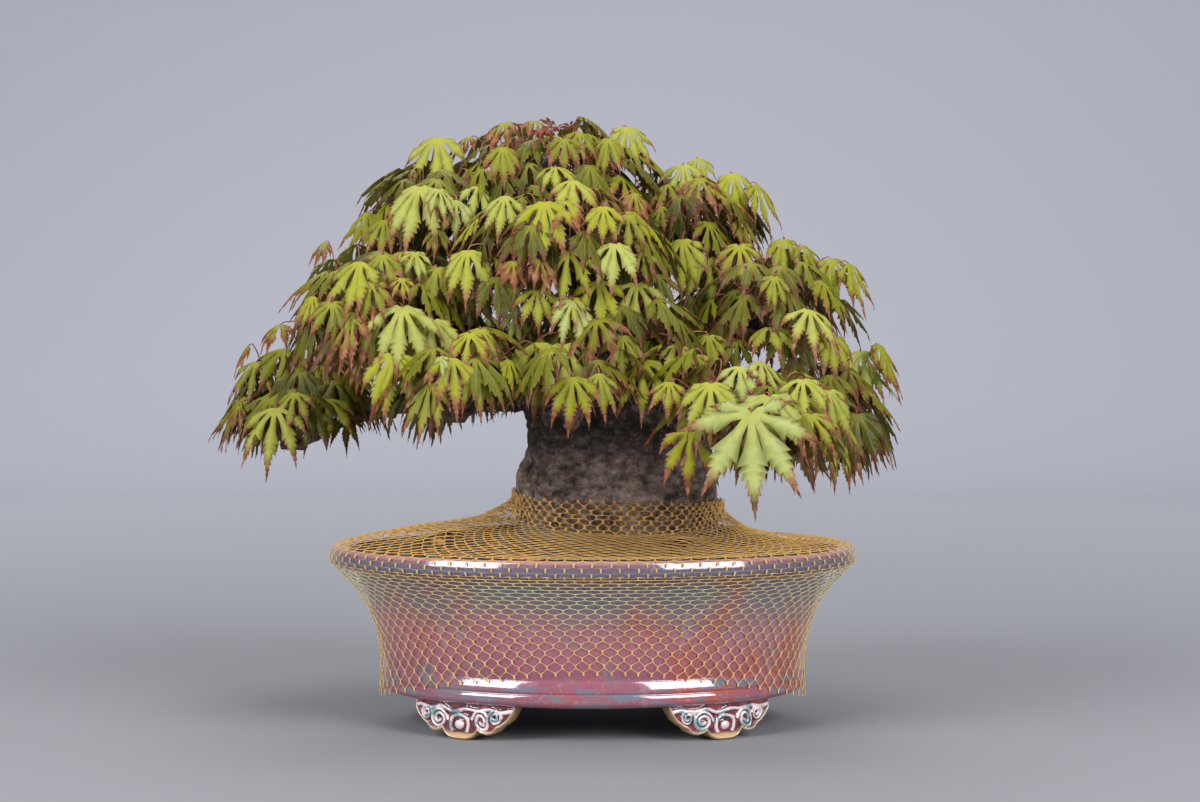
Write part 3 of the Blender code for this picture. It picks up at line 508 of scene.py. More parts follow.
floor = FLOOR_TOP + CLEARANCE
wall = [(half - CLEARANCE, max(height, floor)) for half, height in reversed(INSIDE_LINE) if height < SOIL_EDGE]
top_line = smooth_line(SOIL_LINE, 9)
bm = turned([(0.0, floor), *wall, *top_line, (0.0, top_line[-1][1])], SOIL_TURNS)
for vertex in bm.verts:
    if vertex.co.z > SOIL_EDGE - 0.0001 and vertex.co.xy.length > 0.01:
        cell = noise.voronoi(vertex.co / GRAIN)[0]
        vertex.co.z += GRAIN_RELIEF * (0.55 - min(cell[0], 1.0))
for (x, y), lift in CLODS:
    clod = bmesh.ops.create_icosphere(bm, subdivisions=3, radius=1.0)["verts"]
    for vertex in clod:
        vertex.co *= 1 + 0.30 * noise.noise(vertex.co * 1.6 + Vector((x, y, 0)) * 90)
    bmesh.ops.scale(bm, verts=clod, vec=Vector(CLOD_SIZE) * (0.6 + lift / 0.0075))
    bmesh.ops.translate(bm, verts=clod, vec=(x, y, CLOD_HEIGHT))
soil_grains = piece_from(bm, "soil_grains", soil_material())
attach(soil_grains, "root")
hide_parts("soil")

screen_plastic, screen_tree, screen_shader = new_material("black_plastic", 0.55)
moulded = noise_of(screen_tree, place_of(screen_tree), 900.0, 3.0)
screen_colour = ramp(screen_tree, moulded, ((0.3, (0.012, 0.012, 0.013)), (0.7, (0.028, 0.028, 0.030))))
screen_tree.links.new(screen_colour, screen_shader.inputs["Base Color"])
bump(screen_tree, screen_shader, moulded, 0.00005)
for name in ("drain_screen_left", "drain_screen_right"):
    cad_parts[name].data.materials.clear()
    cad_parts[name].data.materials.append(screen_plastic)

# Trunk: old maple wood, as thick as a wrist at the soil, with dark bark that has gone rough and cracked
# above and stays greyer and smoother below, where it is shaded. The dark above is partly the bark's own
# colour and partly painted shade under the leaves. The branches grow out of it.
BARK_VOXEL = 0.0015
BARK_LOW = 0.080  # nothing below it shows, so it stays plain
PLATE_SIZE = 0.0075
PLATE_DEPTH = 0.0016
BUMP_SIZE = 0.020
BUMP_DEPTH = 0.0028


def bark_material():
    material, tree, shader = new_material("maple_bark", 0.85)
    stretched = place_of(tree, (1, 1, 0.55))
    broad = noise_of(tree, stretched, 44.0, 7.0, 0.66)
    fine = noise_of(tree, place_of(tree, (1, 1, 1.5)), 185.0, 6.0, 0.70)
    tone = math_node(tree, "ADD", math_node(tree, "MULTIPLY", broad, 0.5), math_node(tree, "MULTIPLY", fine, 0.5))
    dark = ramp(tree, tone, ((0.40, (0.007, 0.005, 0.004)), (0.48, (0.030, 0.020, 0.016)),
                             (0.54, (0.092, 0.065, 0.050)), (0.62, (0.300, 0.225, 0.175))))
    grey = ramp(tree, tone, ((0.40, (0.034, 0.024, 0.019)), (0.47, (0.150, 0.108, 0.088)),
                             (0.54, (0.340, 0.255, 0.210)), (0.63, (0.620, 0.500, 0.410))))
    height = node(tree, "ShaderNodeSeparateXYZ", {"Vector": place_of(tree)}).outputs["Z"]
    lifted = math_node(tree, "ADD", height, math_node(tree, "MULTIPLY", math_node(tree, "SUBTRACT", broad, 0.5), 0.05))
    # Painted shade: above about 0.12 m the bark turns dark, partly its own colour and partly painted shade under the
    # leaves.
    colour = mix(tree, between(tree, lifted, 0.117, 0.133), grey, dark)
    litter = between(tree, noise_of(tree, place_of(tree), 260.0, 5.0, 0.6), 0.47, 0.60)
    low_down = math_node(tree, "SUBTRACT", 1.0, between(tree, height, 0.0985, 0.1045))
    colour = mix(tree, math_node(tree, "MULTIPLY", litter, low_down), colour, (0.330, 0.190, 0.085))
    specks = between(tree, noise_of(tree, place_of(tree), 420.0, 2.0), 0.62, 0.68)
    colour = mix(tree, math_node(tree, "MULTIPLY", specks, 0.5), colour, (0.30, 0.24, 0.19))
    tree.links.new(colour, shader.inputs["Base Color"])
    bump(tree, shader, tone, 0.0030)
    return material


def bark_height(place):
    """How far the bark stands out at a point: rounded plates parted by cracks, on broad swellings."""
    stretched = Vector((place.x, place.y, place.z * 0.7))
    near = noise.voronoi(stretched / PLATE_SIZE + noise.noise_vector(place / 0.006) * 0.35)[0]
    crack = min((near[1] - near[0]) * 2.2, 1.0)
    swell = noise.noise(place / BUMP_SIZE)
    rough = noise.fractal(place / 0.004, 0.6, 2.0, 4)
    upper = min(max((place.z - 0.105) / 0.02, 0.25), 1.0)
    return (PLATE_DEPTH * (crack - 0.7) + 0.0006 * rough) * upper + BUMP_DEPTH * swell * 0.6


trunk_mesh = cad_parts["trunk"].data.copy()
bm = bmesh.new()
bm.from_mesh(trunk_mesh)
bmesh.ops.remove_doubles(bm, verts=bm.verts, dist=0.00001)
bm.to_mesh(trunk_mesh)
bm.free()
trunk_bark = add_object("trunk_bark", trunk_mesh)
remesh = trunk_bark.modifiers.new("even", "REMESH")
remesh.mode = "VOXEL"
remesh.voxel_size = BARK_VOXEL
rounding = trunk_bark.modifiers.new("rounding", "SMOOTH")
rounding.iterations = 6
rounding.factor = 0.6
trunk_bark.data = bpy.data.meshes.new_from_object(
    trunk_bark.evaluated_get(bpy.context.evaluated_depsgraph_get()))
trunk_bark.modifiers.clear()
bm = bmesh.new()
bm.from_mesh(trunk_bark.data)
bm.normal_update()
trunk_axis = POT_MIDDLE + Vector((0.012, 0, 0))
for vertex in bm.verts:
    if vertex.co.z > BARK_LOW:
        reach = (vertex.co - trunk_axis).xy.length
        amount = min(max((0.075 - reach) / 0.03, 0.28), 1.0)
        vertex.co += vertex.normal * bark_height(vertex.co) * amount
bm.to_mesh(trunk_bark.data)
bm.free()
trunk_bark.data.materials.clear()
trunk_bark.data.materials.append(bark_material())
trunk_bark.data.shade_smooth()
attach(trunk_bark, "root")
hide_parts("trunk")

# Leafy pads: each branch ends in a fork of thin twigs, and every twig bears leaves of five or seven long,
# deeply cut and toothed lobes on red stalks. They hang like small umbrellas, green-yellow with red edges.
# Pads: middle, half sizes, leaf length, and where the branch comes from and how high it starts on the trunk
PADS = {
    "pad_crown": ((-0.018, 0.004, 0.241), (0.052, 0.044, 0.036), 0.031),
    "pad_crown_left": ((-0.068, -0.002, 0.228), (0.034, 0.042, 0.035), 0.031),
    "pad_crown_right": ((0.042, 0.008, 0.226), (0.034, 0.038, 0.031), 0.029),
    "pad_crown_front": ((-0.012, -0.050, 0.214), (0.046, 0.032, 0.030), 0.031),
    "pad_crown_back": ((0.000, 0.058, 0.216), (0.048, 0.036, 0.034), 0.030),
    "pad_left_front": ((-0.092, -0.044, 0.184), (0.038, 0.038, 0.036), 0.031),
    "pad_left_back": ((-0.092, 0.050, 0.184), (0.040, 0.038, 0.034), 0.030),
    "pad_middle": ((0.008, -0.062, 0.176), (0.042, 0.026, 0.024), 0.030),
    "pad_right_mid": ((0.079, -0.028, 0.190), (0.034, 0.036, 0.028), 0.030),
    "pad_right_back": ((0.078, 0.050, 0.188), (0.038, 0.038, 0.032), 0.030),
    "pad_front_left": ((-0.056, -0.082, 0.152), (0.034, 0.030, 0.030), 0.032),
    "pad_front": ((-0.008, -0.092, 0.146), (0.024, 0.020, 0.022), 0.031),
    "pad_front_right": ((0.060, -0.086, 0.139), (0.044, 0.034, 0.028), 0.037),
    "pad_back_left": ((-0.052, 0.094, 0.152), (0.038, 0.032, 0.032), 0.031),
    "pad_back_right": ((0.036, 0.096, 0.152), (0.040, 0.032, 0.032), 0.031),
    "pad_left_low": ((-0.137, 0.020, 0.138), (0.032, 0.040, 0.036), 0.032),
    "pad_right_low": ((0.107, 0.012, 0.138), (0.028, 0.042, 0.034), 0.033),
}
# Leaves that stand out to the front, as the front view shows them in the plane through the pot's middle, in
# millimetres: (across, up) of the stalk's end, length, turn to the right of straight ahead, pitch, dress
LEADING_LEAVES = (
    (-71, 266, 27, -10, 60, "yellow"), (-41, 262, 19, 0, 65, "green"), (-56, 267, 18, -60, 30, "red"),
    (-40, 273, 18, -30, 35, "red"), (-26, 274, 16, 30, 30, "red"), (-6, 269, 16, 20, 50, "green"),
    (-13, 266, 17, 0, 75, "green"), (-17, 253, 21, 10, 15, "yellow"), (16, 271, 23, 30, 50, "yellow"),
    (7, 266, 20, -20, 60, "green"), (48, 257, 14, 30, 40, "yellow"), (41, 254, 23, -20, 70, "yellow"),
    (49, 248, 21, 0, 70, "red"), (64, 250, 24, 10, 60, "yellow"), (75, 245, 25, 50, 60, "yellow"),
    (-79, 244, 32, -15, 60, "yellow"), (-95, 229, 20, -20, 55, "green"), (-103, 232, 22, -50, 50, "green"),
    (-40, 240, 23, -15, 60, "yellow"), (-62, 238, 20, 0, 85, "pale"), (-70, 243, 18, 20, 50, "pale"),
    (-22, 237, 30, 5, 62, "yellow"), (-9, 247, 24, 10, 35, "yellow"), (5, 235, 19, 0, 60, "yellow"),
    (16, 231, 20, 10, 65, "green"), (19, 241, 17, 30, 60, "red"), (-71, 224, 14, 0, 60, "green"),
    (-122, 219, 14, -40, 50, "red"), (-106, 210, 30, -35, 50, "yellow"), (-96, 213, 22, -10, 65, "green"),
    (-81, 214, 15, 10, 60, "yellow"), (-57, 215, 28, 0, 55, "yellow"), (-71, 207, 19, -5, 65, "green"),
    (-36, 210, 16, 0, 50, "red"), (-24, 211, 18, 30, 50, "red"), (10, 218, 25, -10, 55, "pale"),
    (23, 214, 16, 10, 65, "green"), (41, 220, 29, -10, 62, "yellow"), (53, 211, 27, 10, 60, "yellow"),
    (44, 206, 11, 0, 60, "red"), (67, 217, 22, 0, 65, "flushed"), (87, 220, 20, 10, 60, "green"),
    (96, 217, 16, 50, 45, "green"), (109, 211, 22, 30, 55, "green"), (117, 209, 25, 55, 60, "flushed"),
    (-87, 202, 12, 0, 55, "flushed"), (-87, 189, 34, 5, 55, "pale"), (-73, 183, 26, 5, 60, "yellow"),
    (-101, 200, 21, -15, 60, "green"), (-128, 194, 18, -40, 55, "flushed"), (-119, 191, 20, -10, 70, "green"),
    (-109, 187, 14, 0, 65, "green"), (-110, 184, 27, -45, 60, "red"), (-47, 185, 17, 10, 35, "green"),
    (-56, 177, 20, -10, 60, "flushed"), (-51, 179, 20, 20, 60, "flushed"), (-35, 186, 17, 20, 55, "pale"),
    (-25, 197, 21, 5, 60, "yellow"), (-11, 193, 18, -20, 60, "yellow"), (-9, 192, 27, 25, 65, "pale"),
    (3, 201, 25, 0, 65, "yellow"), (20, 200, 28, 0, 65, "yellow"), (45, 193, 15, 0, 55, "dark"),
    (83, 203, 17, 10, 60, "green"), (99, 188, 28, 10, 35, "yellow"), (81, 180, 23, 10, 15, "green"),
    (109, 177, 23, 20, 65, "flushed"), (53, 176, 21, -20, 50, "green"), (38, 172, 17, -10, 55, "yellow"),
    (46, 167, 24, 0, 60, "flushed"), (66, 174, 17, 10, 60, "green"), (67, 162, 21, 5, 55, "pale"),
    (77, 164, 21, 50, 35, "yellow"), (93, 164, 28, 40, 50, "flushed"), (123, 169, 27, 15, 60, "yellow"),
    (131, 172, 27, 55, 60, "flushed"), (-141, 170, 25, 0, 60, "green"), (-154, 164, 20, -20, 62, "green"),
    (-143, 181, 17, -20, 30, "red"), (-157, 172, 15, -60, 50, "red"), (-145, 143, 32, -20, 58, "yellow"),
    (-128, 148, 20, 10, 60, "dark"), (-162, 144, 13, -50, 60, "red"), (-91, 168, 32, -5, 65, "yellow"),
    (-106, 166, 16, -10, 75, "red"), (-64, 166, 28, 10, 65, "flushed"), (-70, 166, 15, -40, 50, "pale"),
    (-24, 173, 36, -15, 55, "yellow"), (-13, 172, 36, 20, 60, "yellow"), (23, 164, 29, -5, 60, "yellow"),
    (35, 155, 18, -20, 70, "flushed"), (54, 154, 28, -15, 60, "yellow"), (72, 141, 44, -5, 78, "open"),
    (81, 148, 36, 25, 66, "pale"), (96, 156, 23, 0, 45, "yellow"), (108, 151, 28, 10, 75, "yellow"),
    (100, 140, 25, 5, 75, "flushed"), (121, 140, 26, 0, 70, "dark"), (45, 132, 28, -5, 80, "flushed"),
    (115, 129, 23, 10, 70, "flushed"), (-19, 271, 8, -20, -60, "bud"), (-17, 270, 7, 40, -40, "bud"),
    (-10, 271, 7, 10, -50, "bud"), (-21, 269, 7, -70, -20, "bud"), (-128, 141, 20, -12, 60, "dark"),
    (-113, 140, 18, 12, 62, "dark"), (-121, 147, 22, 0, 58, "green"), (-136, 150, 20, -25, 55, "green"),
    (-9, 157, 25, -8, 74, "flushed"), (3, 159, 22, 18, 70, "green"), (-44, 203, 23, 0, 65, "dark"),
    (-53, 198, 21, -10, 60, "dark"), (-36, 198, 20, 12, 60, "dark"), (88, 179, 22, 0, 60, "dark"),
    (95, 174, 20, 10, 65, "dark"), (-28, 226, 20, 0, 60, "dark"), (30, 204, 20, 0, 60, "dark"),
)
# How light and yellow a leaf is, and how far the red has spread from its teeth. The 'dark' leaves fill holes in the
# foliage with painted shade.
DRESSES = {"yellow": (0.80, 0.34), "green": (0.50, 0.40), "pale": (0.94, 0.28), "open": (0.95, 0.28),
           "dark": (0.12, 0.35), "flushed": (0.68, 0.58), "red": (0.45, 0.98), "bud": (0.5, 2.0)}
HUB_DROP = 0.35
# The leaves between them, in layers: (spacing, depth as a share of the dome, lightness). The deepest layer is painted
# dark, as painted shade inside the pads.
LAYERS = ((0.0285, 0.84, 1.0), (0.0165, 0.84, 1.0), (0.0195, 0.58, 0.10))
LEAST_APART = 0.0095
# The hem that those leaves keep above, as the front view shows it: (across, height)
HEM = ((-0.180, 0.124), (-0.150, 0.118), (-0.125, 0.130), (-0.100, 0.131), (-0.080, 0.123), (-0.060, 0.127),
       (-0.045, 0.138), (-0.028, 0.142), (0.026, 0.142), (0.040, 0.114), (0.062, 0.106), (0.108, 0.101),
       (0.125, 0.108), (0.155, 0.122))
MOST_LIFT = 0.020
LEAF_JITTER = 0.10
LOWEST_LEAF = math.radians(-12)
DOME_DEPTHS = (0.90, 1.04)
PAD_CORE = 0.80
PAD_CORE_BASE = -0.5
GOLDEN_TURN = math.pi * (3 - math.sqrt(5))
HEXAGON = math.sqrt(3) / 2
LEAF_SIZES = (0.72, 1.06)
LEAF_TURN_SPREAD = 0.35
LEAF_PITCH_TOP = math.radians(14)
LEAF_PITCH_SIDE = math.radians(58)
LEAF_PITCH_SPREAD = math.radians(8)
LEAF_ROLL_SPREAD = 0.22
LEAF_DROOPS = (0.62, 0.88)
DOWN = np.array((0.0, 0.0, -1.0))


def leaf_places(pad, spacing):
    """Where a pad's leaves spring: an even spiral over its dome, without what lies inside other pads."""
    middle, half = Vector(PADS[pad][0]), Vector(PADS[pad][1])
    mean = (half.x * half.y * half.z) ** (1 / 3)
    lowest = math.sin(LOWEST_LEAF)
    area = 2 * math.pi * mean**2 * (1 - lowest)
    count = round(area / (HEXAGON * spacing**2))
    places = []
    for k in range(count):
        draw = random.Random(f"{pad} {spacing:.4f} {k}")
        level = 1 - (1 - lowest) * (k + 0.5) / count
        turn = k * GOLDEN_TURN + draw.uniform(-LEAF_JITTER, LEAF_JITTER)
        flat = math.sqrt(1 - level**2)
        unit = Vector((flat * math.cos(turn), flat * math.sin(turn), level))
        place = middle + half * unit * draw.uniform(*DOME_DEPTHS)
        if not inside_other_pad(pad, place):
            places.append((place, turn, level, draw))
    return places


def inside_other_pad(pad, place):
    for other, (middle, half, *_) in PADS.items():
        if other == pad:
            continue
        offset = [(place[i] - middle[i]) / half[i] for i in range(3)]
        if offset[2] > PAD_CORE_BASE and sum(value**2 for value in offset) < PAD_CORE:
            return True
    return False


def leaf_pose(pad, place, turn, level, draw):
    """(place, frame, length, droop, draw) of one leaf. The frame's X runs down the middle lobe, its Z is up."""
    length = PADS[pad][2] * draw.uniform(*LEAF_SIZES)
    heading = turn + draw.uniform(-LEAF_TURN_SPREAD, LEAF_TURN_SPREAD)
    pitch = LEAF_PITCH_SIDE + (LEAF_PITCH_TOP - LEAF_PITCH_SIDE) * max(level, 0.0)
    pitch += draw.uniform(-LEAF_PITCH_SPREAD, LEAF_PITCH_SPREAD)
    roll = draw.uniform(-LEAF_ROLL_SPREAD, LEAF_ROLL_SPREAD)
    droop = draw.uniform(*LEAF_DROOPS)
    pose = Matrix.Rotation(heading, 3, "Z") @ Matrix.Rotation(pitch, 3, "Y") @ Matrix.Rotation(roll, 3, "X")
    return place, pose, length, droop, draw


# A leaf's outline: (turn from the middle lobe in degrees, share of its length, teeth on each side)
SEVEN_LOBES = ((-106, 0.40, 3), (-74, 0.70, 4), (-37, 0.91, 5), (0, 1.0, 6), (37, 0.91, 5), (74, 0.70, 4),
               (106, 0.40, 3))
FIVE_LOBES = ((-80, 0.62, 4), (-40, 0.90, 5), (0, 1.0, 6), (40, 0.90, 5), (80, 0.62, 4))
LOBE_HALF_WIDTH = 0.108
LOBE_LEAST_WIDTH = 0.38
# A lobe's half width from the notch to its tip: (share of that way, share of the greatest half width)
LOBE_SHAPE = ((0.0, 0.22), (0.15, 0.44), (0.30, 0.78), (0.42, 1.0), (0.50, 0.95), (0.58, 0.74), (0.68, 0.47),
              (0.80, 0.25), (0.90, 0.13), (1.0, 0.0))
SMOOTH_ROWS = (0.14, 0.27)  # shares of the way to the tip below the lowest tooth
FIRST_TOOTH = 0.36
NOTCH_RADIUS = 0.10
BASE_RADIUS = 0.06
TOOTH_OUT = (0.12, 0.026)  # share of the lobe's half width, and what is added to it
TOOTH_IN = (-0.26, -0.003)
TOOTH_SIZES = ((0.36, 0.60), (0.50, 1.05), (1.0, 1.25))  # how they grow on the way to the tip
SMALL_TOOTH = 0.72  # every other one
# Teeth for the leaves in front, for the others that show, and for those inside the pads: (number, depth)
FINENESS = {"front": (1.25, 1.0), "outer": (0.9, 1.1), "inner": (0.55, 1.2)}
LEAF_THICKNESS = 0.00026
FOLD = 0.42
NOTCH_DROOP = 0.5
DROOP_POWER = 0.95
HANG_STEPS = 12


def lobe_rows(length, teeth, fineness):
    """The rows across a lobe, from the leaf's centre to the tip: (rib's reach, edge's reach, half width)."""
    rows = [(0.0, 0.0, 0.0), (NOTCH_RADIUS / 2, NOTCH_RADIUS / 2, None), (NOTCH_RADIUS, NOTCH_RADIUS, None)]
    widest = LOBE_HALF_WIDTH * (LOBE_LEAST_WIDTH + (1 - LOBE_LEAST_WIDTH) * length)
    way = length - NOTCH_RADIUS
    for share in SMOOTH_ROWS:
        reach = NOTCH_RADIUS + share * way
        rows.append((reach, reach, widest * interpolate(LOBE_SHAPE, share)))
    teeth = max(2, round(teeth * fineness[0]))
    step = (1 - FIRST_TOOTH) / (teeth + 0.5)
    for k in range(teeth):
        for rib, edge, (scale, more) in ((0.30, 0.90, TOOTH_OUT), (0.80, 0.76, TOOTH_IN)):
            share = FIRST_TOOTH + (k + edge) * step
            depth = fineness[1] * interpolate(TOOTH_SIZES, share) * (SMALL_TOOTH if k % 2 else 1)
            width = widest * interpolate(LOBE_SHAPE, share) * (1 + scale * depth)
            width = max(width + more * depth * (1 - share) * length, 0.004)
            rows.append((NOTCH_RADIUS + (FIRST_TOOTH + (k + rib) * step) * way, NOTCH_RADIUS + share * way, width))
    rows.append((length, length, 0.0))
    return rows


def leaf_template(name, lobes, fineness):
    """A flat leaf as a mesh. Each point keeps its ray, its run along it, its distance aside, and its lobe."""
    bm = bmesh.new()
    layers = {key: bm.verts.layers.float.new(key) for key in ("ray", "run", "aside", "lobe", "whole", "skin", "edge")}
    uv = bm.loops.layers.uv.new("leaf_uv")
    turns = [math.radians(turn) for turn, _, _ in lobes]
    for i, (turn, (_, length, teeth)) in enumerate(zip(turns, lobes)):
        rows = lobe_rows(length, teeth, fineness)
        made = bmesh.ops.create_grid(bm, x_segments=len(rows) - 1, y_segments=2, size=1.0)
        for vertex in made["verts"]:
            row = round((vertex.co.x + 1) / 2 * (len(rows) - 1))
            side = round(vertex.co.y)
            rib, edge, width = rows[row]
            ray, run, aside, lobe, whole = turn, rib, 0.0, float(i), length
            if side and width is None:
                inner = 0 <= i + side < len(lobes)
                ray = (turn + turns[i + side]) / 2 if inner else turn + side * math.radians(24)
                run = edge if inner else edge * 0.75
                lobe = i + side / 2
                whole = (length + lobes[i + side][1]) / 2 if inner else length
            elif side:
                run, aside = edge, side * width
            values = {"ray": ray, "run": run, "aside": aside, "lobe": lobe, "whole": whole, "skin": 1.0,
                      "edge": abs(side) if row > 2 else 0.5 * abs(side) * (row == 2)}
            for key, value in values.items():
                vertex[layers[key]] = value
            across = Vector((-math.sin(ray), math.cos(ray), 0)) * aside
            vertex.co = Vector((math.cos(ray), math.sin(ray), 0)) * run + across
            for loop in vertex.link_loops:
                loop[uv].uv = (0.5 + 0.5 * side, rib / length)
    bmesh.ops.remove_doubles(bm, verts=bm.verts, dist=0.0001)
    bmesh.ops.dissolve_degenerate(bm, edges=bm.edges, dist=0.00001)
    bmesh.ops.triangulate(bm, faces=bm.faces)
    bmesh.ops.recalc_face_normals(bm, faces=bm.faces)
    if sum(face.normal.z for face in bm.faces) < 0:
        bmesh.ops.reverse_faces(bm, faces=bm.faces)
    border = {vertex for edge in bm.edges if edge.is_boundary for vertex in edge.verts}
    made = bmesh.ops.duplicate(bm, geom=list(bm.faces))["geom"]
    under = [item for item in made if isinstance(item, bmesh.types.BMFace)]
    bmesh.ops.reverse_faces(bm, faces=under)
    for face in under:
        face.material_index = 1
        for vertex in face.verts:
            vertex[layers["skin"]] = -1.0
    for vertex in border:
        vertex[layers["skin"]] = 0.0
    seam = [vertex for vertex in bm.verts if vertex in border or (vertex[layers["skin"]] < 0 and vertex.is_boundary)]
    for vertex in seam:
        vertex[layers["skin"]] = 0.0
    bmesh.ops.remove_doubles(bm, verts=seam, dist=0.0001)
    for edge in bm.edges:
        edge.smooth = not all(vertex[layers["skin"]] == 0 for vertex in edge.verts)
    mesh = bpy.data.meshes.new(name)
    for face in bm.faces:
        face.smooth = True
    bm.to_mesh(mesh)
    bm.free()
    return mesh


def template_values(mesh):
    values = {}
    for key in ("ray", "run", "aside", "lobe", "whole", "skin", "edge"):
        values[key] = np.zeros(len(mesh.vertices), np.float32)
        mesh.attributes[key].data.foreach_get("value", values[key])
        values[key] = values[key].astype(float)
    return values


def unit_rows(rows):
    return rows / np.maximum(np.linalg.norm(rows, axis=1), 1e-9)[:, None]


def hung_leaf(values, lobes, place, turn, length, droop, spread, draw):
    """The points of one leaf, with every lobe drawn down along its own rib, as (count, 3) numbers."""
    turn = np.array(turn)
    count = len(lobes)
    steer = np.interp(values["lobe"], range(count), [draw.uniform(-0.15, 0.15) for _ in range(count)])
    pull = np.interp(values["lobe"], range(count), [droop + draw.uniform(-0.18, 0.12) for _ in range(count)])
    curl = np.interp(values["lobe"], range(count), [draw.uniform(0.0, 6.3) for _ in range(count)])
    between_lobes = values["lobe"] % 1 > 0.25
    pull = np.where(between_lobes, pull * NOTCH_DROOP, pull)
    ray = values["ray"] * spread + steer
    flat = np.stack([np.cos(ray), np.sin(ray), np.zeros_like(ray)], axis=1) @ turn.T
    normal = turn @ np.array((0.0, 0.0, 1.0))
    points = np.zeros_like(flat)
    for k in range(HANG_STEPS + 1):
        along = values["run"] * min((k + 0.5) / HANG_STEPS, 1.0)
        drawn = (pull * (along / values["whole"]) ** DROOP_POWER)[:, None]
        tangent = unit_rows(flat * (1 - drawn) + DOWN * drawn)
        if k < HANG_STEPS:
            points += tangent * (values["run"] / HANG_STEPS)[:, None]
    side = unit_rows(np.cross(normal, tangent))
    lift = np.cross(tangent, side)
    aside = values["aside"][:, None] * (draw.uniform(0.82, 1.12) if droop > 0.4 else 1.18)
    wave = 0.014 * np.sin(values["run"] * 19 + curl) * values["edge"]
    rise = -FOLD * np.abs(aside) + wave[:, None]
    points = points + side * aside * 0.97 + lift * rise
    thick = (values["skin"] * LEAF_THICKNESS / 2)[:, None]
    return np.array(place) + points * length + lift * thick


def leaf_material(name, underside=False):
    """Thin leaf: yellow-green with paler veins, brown-red along its teeth and at its tips, light through it."""
    material, tree, shader = new_material(name, 0.40)
    shader.inputs["Specular IOR Level"].default_value = 0.25
    uv = node(tree, "ShaderNodeUVMap", uv_map="leaf_uv").outputs["UV"]
    parts = node(tree, "ShaderNodeSeparateXYZ", {"Vector": uv})
    across = math_node(tree, "ABSOLUTE", math_node(tree, "MULTIPLY_ADD", parts.outputs["X"], 2.0, -1.0))
    along = parts.outputs["Y"]
    tone = node(tree, "ShaderNodeAttribute", attribute_name="tone").outputs["Fac"]
    flush = node(tree, "ShaderNodeAttribute", attribute_name="flush").outputs["Fac"]
    edge = node(tree, "ShaderNodeAttribute", attribute_name="edge").outputs["Fac"]
    mottle = noise_of(tree, place_of(tree), 260.0, 4.0, 0.6)
    green = ramp(tree, tone, ((0.0, (0.026, 0.029, 0.003)), (0.30, (0.158, 0.168, 0.007)),
                              (0.75, (0.385, 0.400, 0.016)), (1.0, (0.490, 0.550, 0.200))))
    deeper = math_node(tree, "MULTIPLY", between(tree, mottle, 0.35, 0.75), 0.30)
    green = mix(tree, deeper, green, (0.155, 0.165, 0.006))
    veins = node(tree, "ShaderNodeTexWave", {
        "Vector": node(tree, "ShaderNodeCombineXYZ", {
            "X": math_node(tree, "MULTIPLY_ADD", across, -0.16, along)}).outputs["Vector"],
        "Scale": 3.4, "Distortion": 0.4, "Detail": 1.0}, bands_direction="X").outputs["Fac"]
    branch = math_node(tree, "MULTIPLY", between(tree, veins, 0.80, 0.98), 0.13)
    rib = math_node(tree, "SUBTRACT", 1.0, between(tree, across, 0.01, 0.09))
    vein = math_node(tree, "MAXIMUM", branch, math_node(tree, "MULTIPLY", rib, 0.38))
    # Painted shade: each lobe darkens towards its edges.
    green = mix(tree, math_node(tree, "MULTIPLY", between(tree, edge, 0.30, 1.0), 0.60), green, (0.125, 0.120, 0.006))
    # Painted highlight: the leaf is painted lighter and yellower near its stalk.
    hub_highlight = math_node(tree, "MULTIPLY", math_node(tree, "SUBTRACT", 1.0, between(tree, along, 0.0, 0.42)), 0.35)
    green = mix(tree, hub_highlight, green, (0.520, 0.480, 0.060))
    colour = mix(tree, vein, green, (0.520, 0.520, 0.110))
    reddening = math_node(tree, "MULTIPLY_ADD", flush, 0.55, math_node(tree, "MULTIPLY", mottle, 0.25))
    outward = math_node(tree, "MULTIPLY_ADD", along, 0.50, reddening)
    border = between(tree, math_node(tree, "MULTIPLY_ADD", edge, 0.66, outward), 1.05, 1.28)
    tip = between(tree, math_node(tree, "MULTIPLY_ADD", reddening, 0.60, along), 0.76, 0.98)
    red = math_node(tree, "MULTIPLY", math_node(tree, "MAXIMUM", border, tip), 0.90)
    redness = ramp(tree, mottle, ((0.40, (0.130, 0.025, 0.012)), (0.52, (0.275, 0.076, 0.038)), (0.66, (0.455, 0.190, 0.120))))
    # Painted shade: on the dark leaves inside the foliage the red goes dark brown as well.
    inside = math_node(tree, "SUBTRACT", 1.0, between(tree, tone, 0.05, 0.50))
    redness = mix(tree, math_node(tree, "MULTIPLY", inside, 0.65), redness, (0.070, 0.022, 0.010))
    colour = mix(tree, red, colour, redness)
    crimson = between(tree, flush, 1.3, 1.7)
    colour = mix(tree, crimson, colour, (0.420, 0.030, 0.030))
    if underside:
        colour = mix(tree, 0.35, colour, (0.430, 0.455, 0.190))
    tree.links.new(colour, shader.inputs["Base Color"])
    bump(tree, shader, math_node(tree, "ADD", vein, math_node(tree, "MULTIPLY", mottle, 0.6)), 0.00010)
    through = node(tree, "ShaderNodeBsdfTranslucent",
                   {"Color": mix(tree, 0.25, colour, (0.50, 0.50, 0.03))})
    blend = node(tree, "ShaderNodeMixShader", {0: 0.30, 1: shader.outputs[0], 2: through.outputs[0]})
    tree.links.new(blend.outputs[0], tree.nodes["Material Output"].inputs["Surface"])
    return material


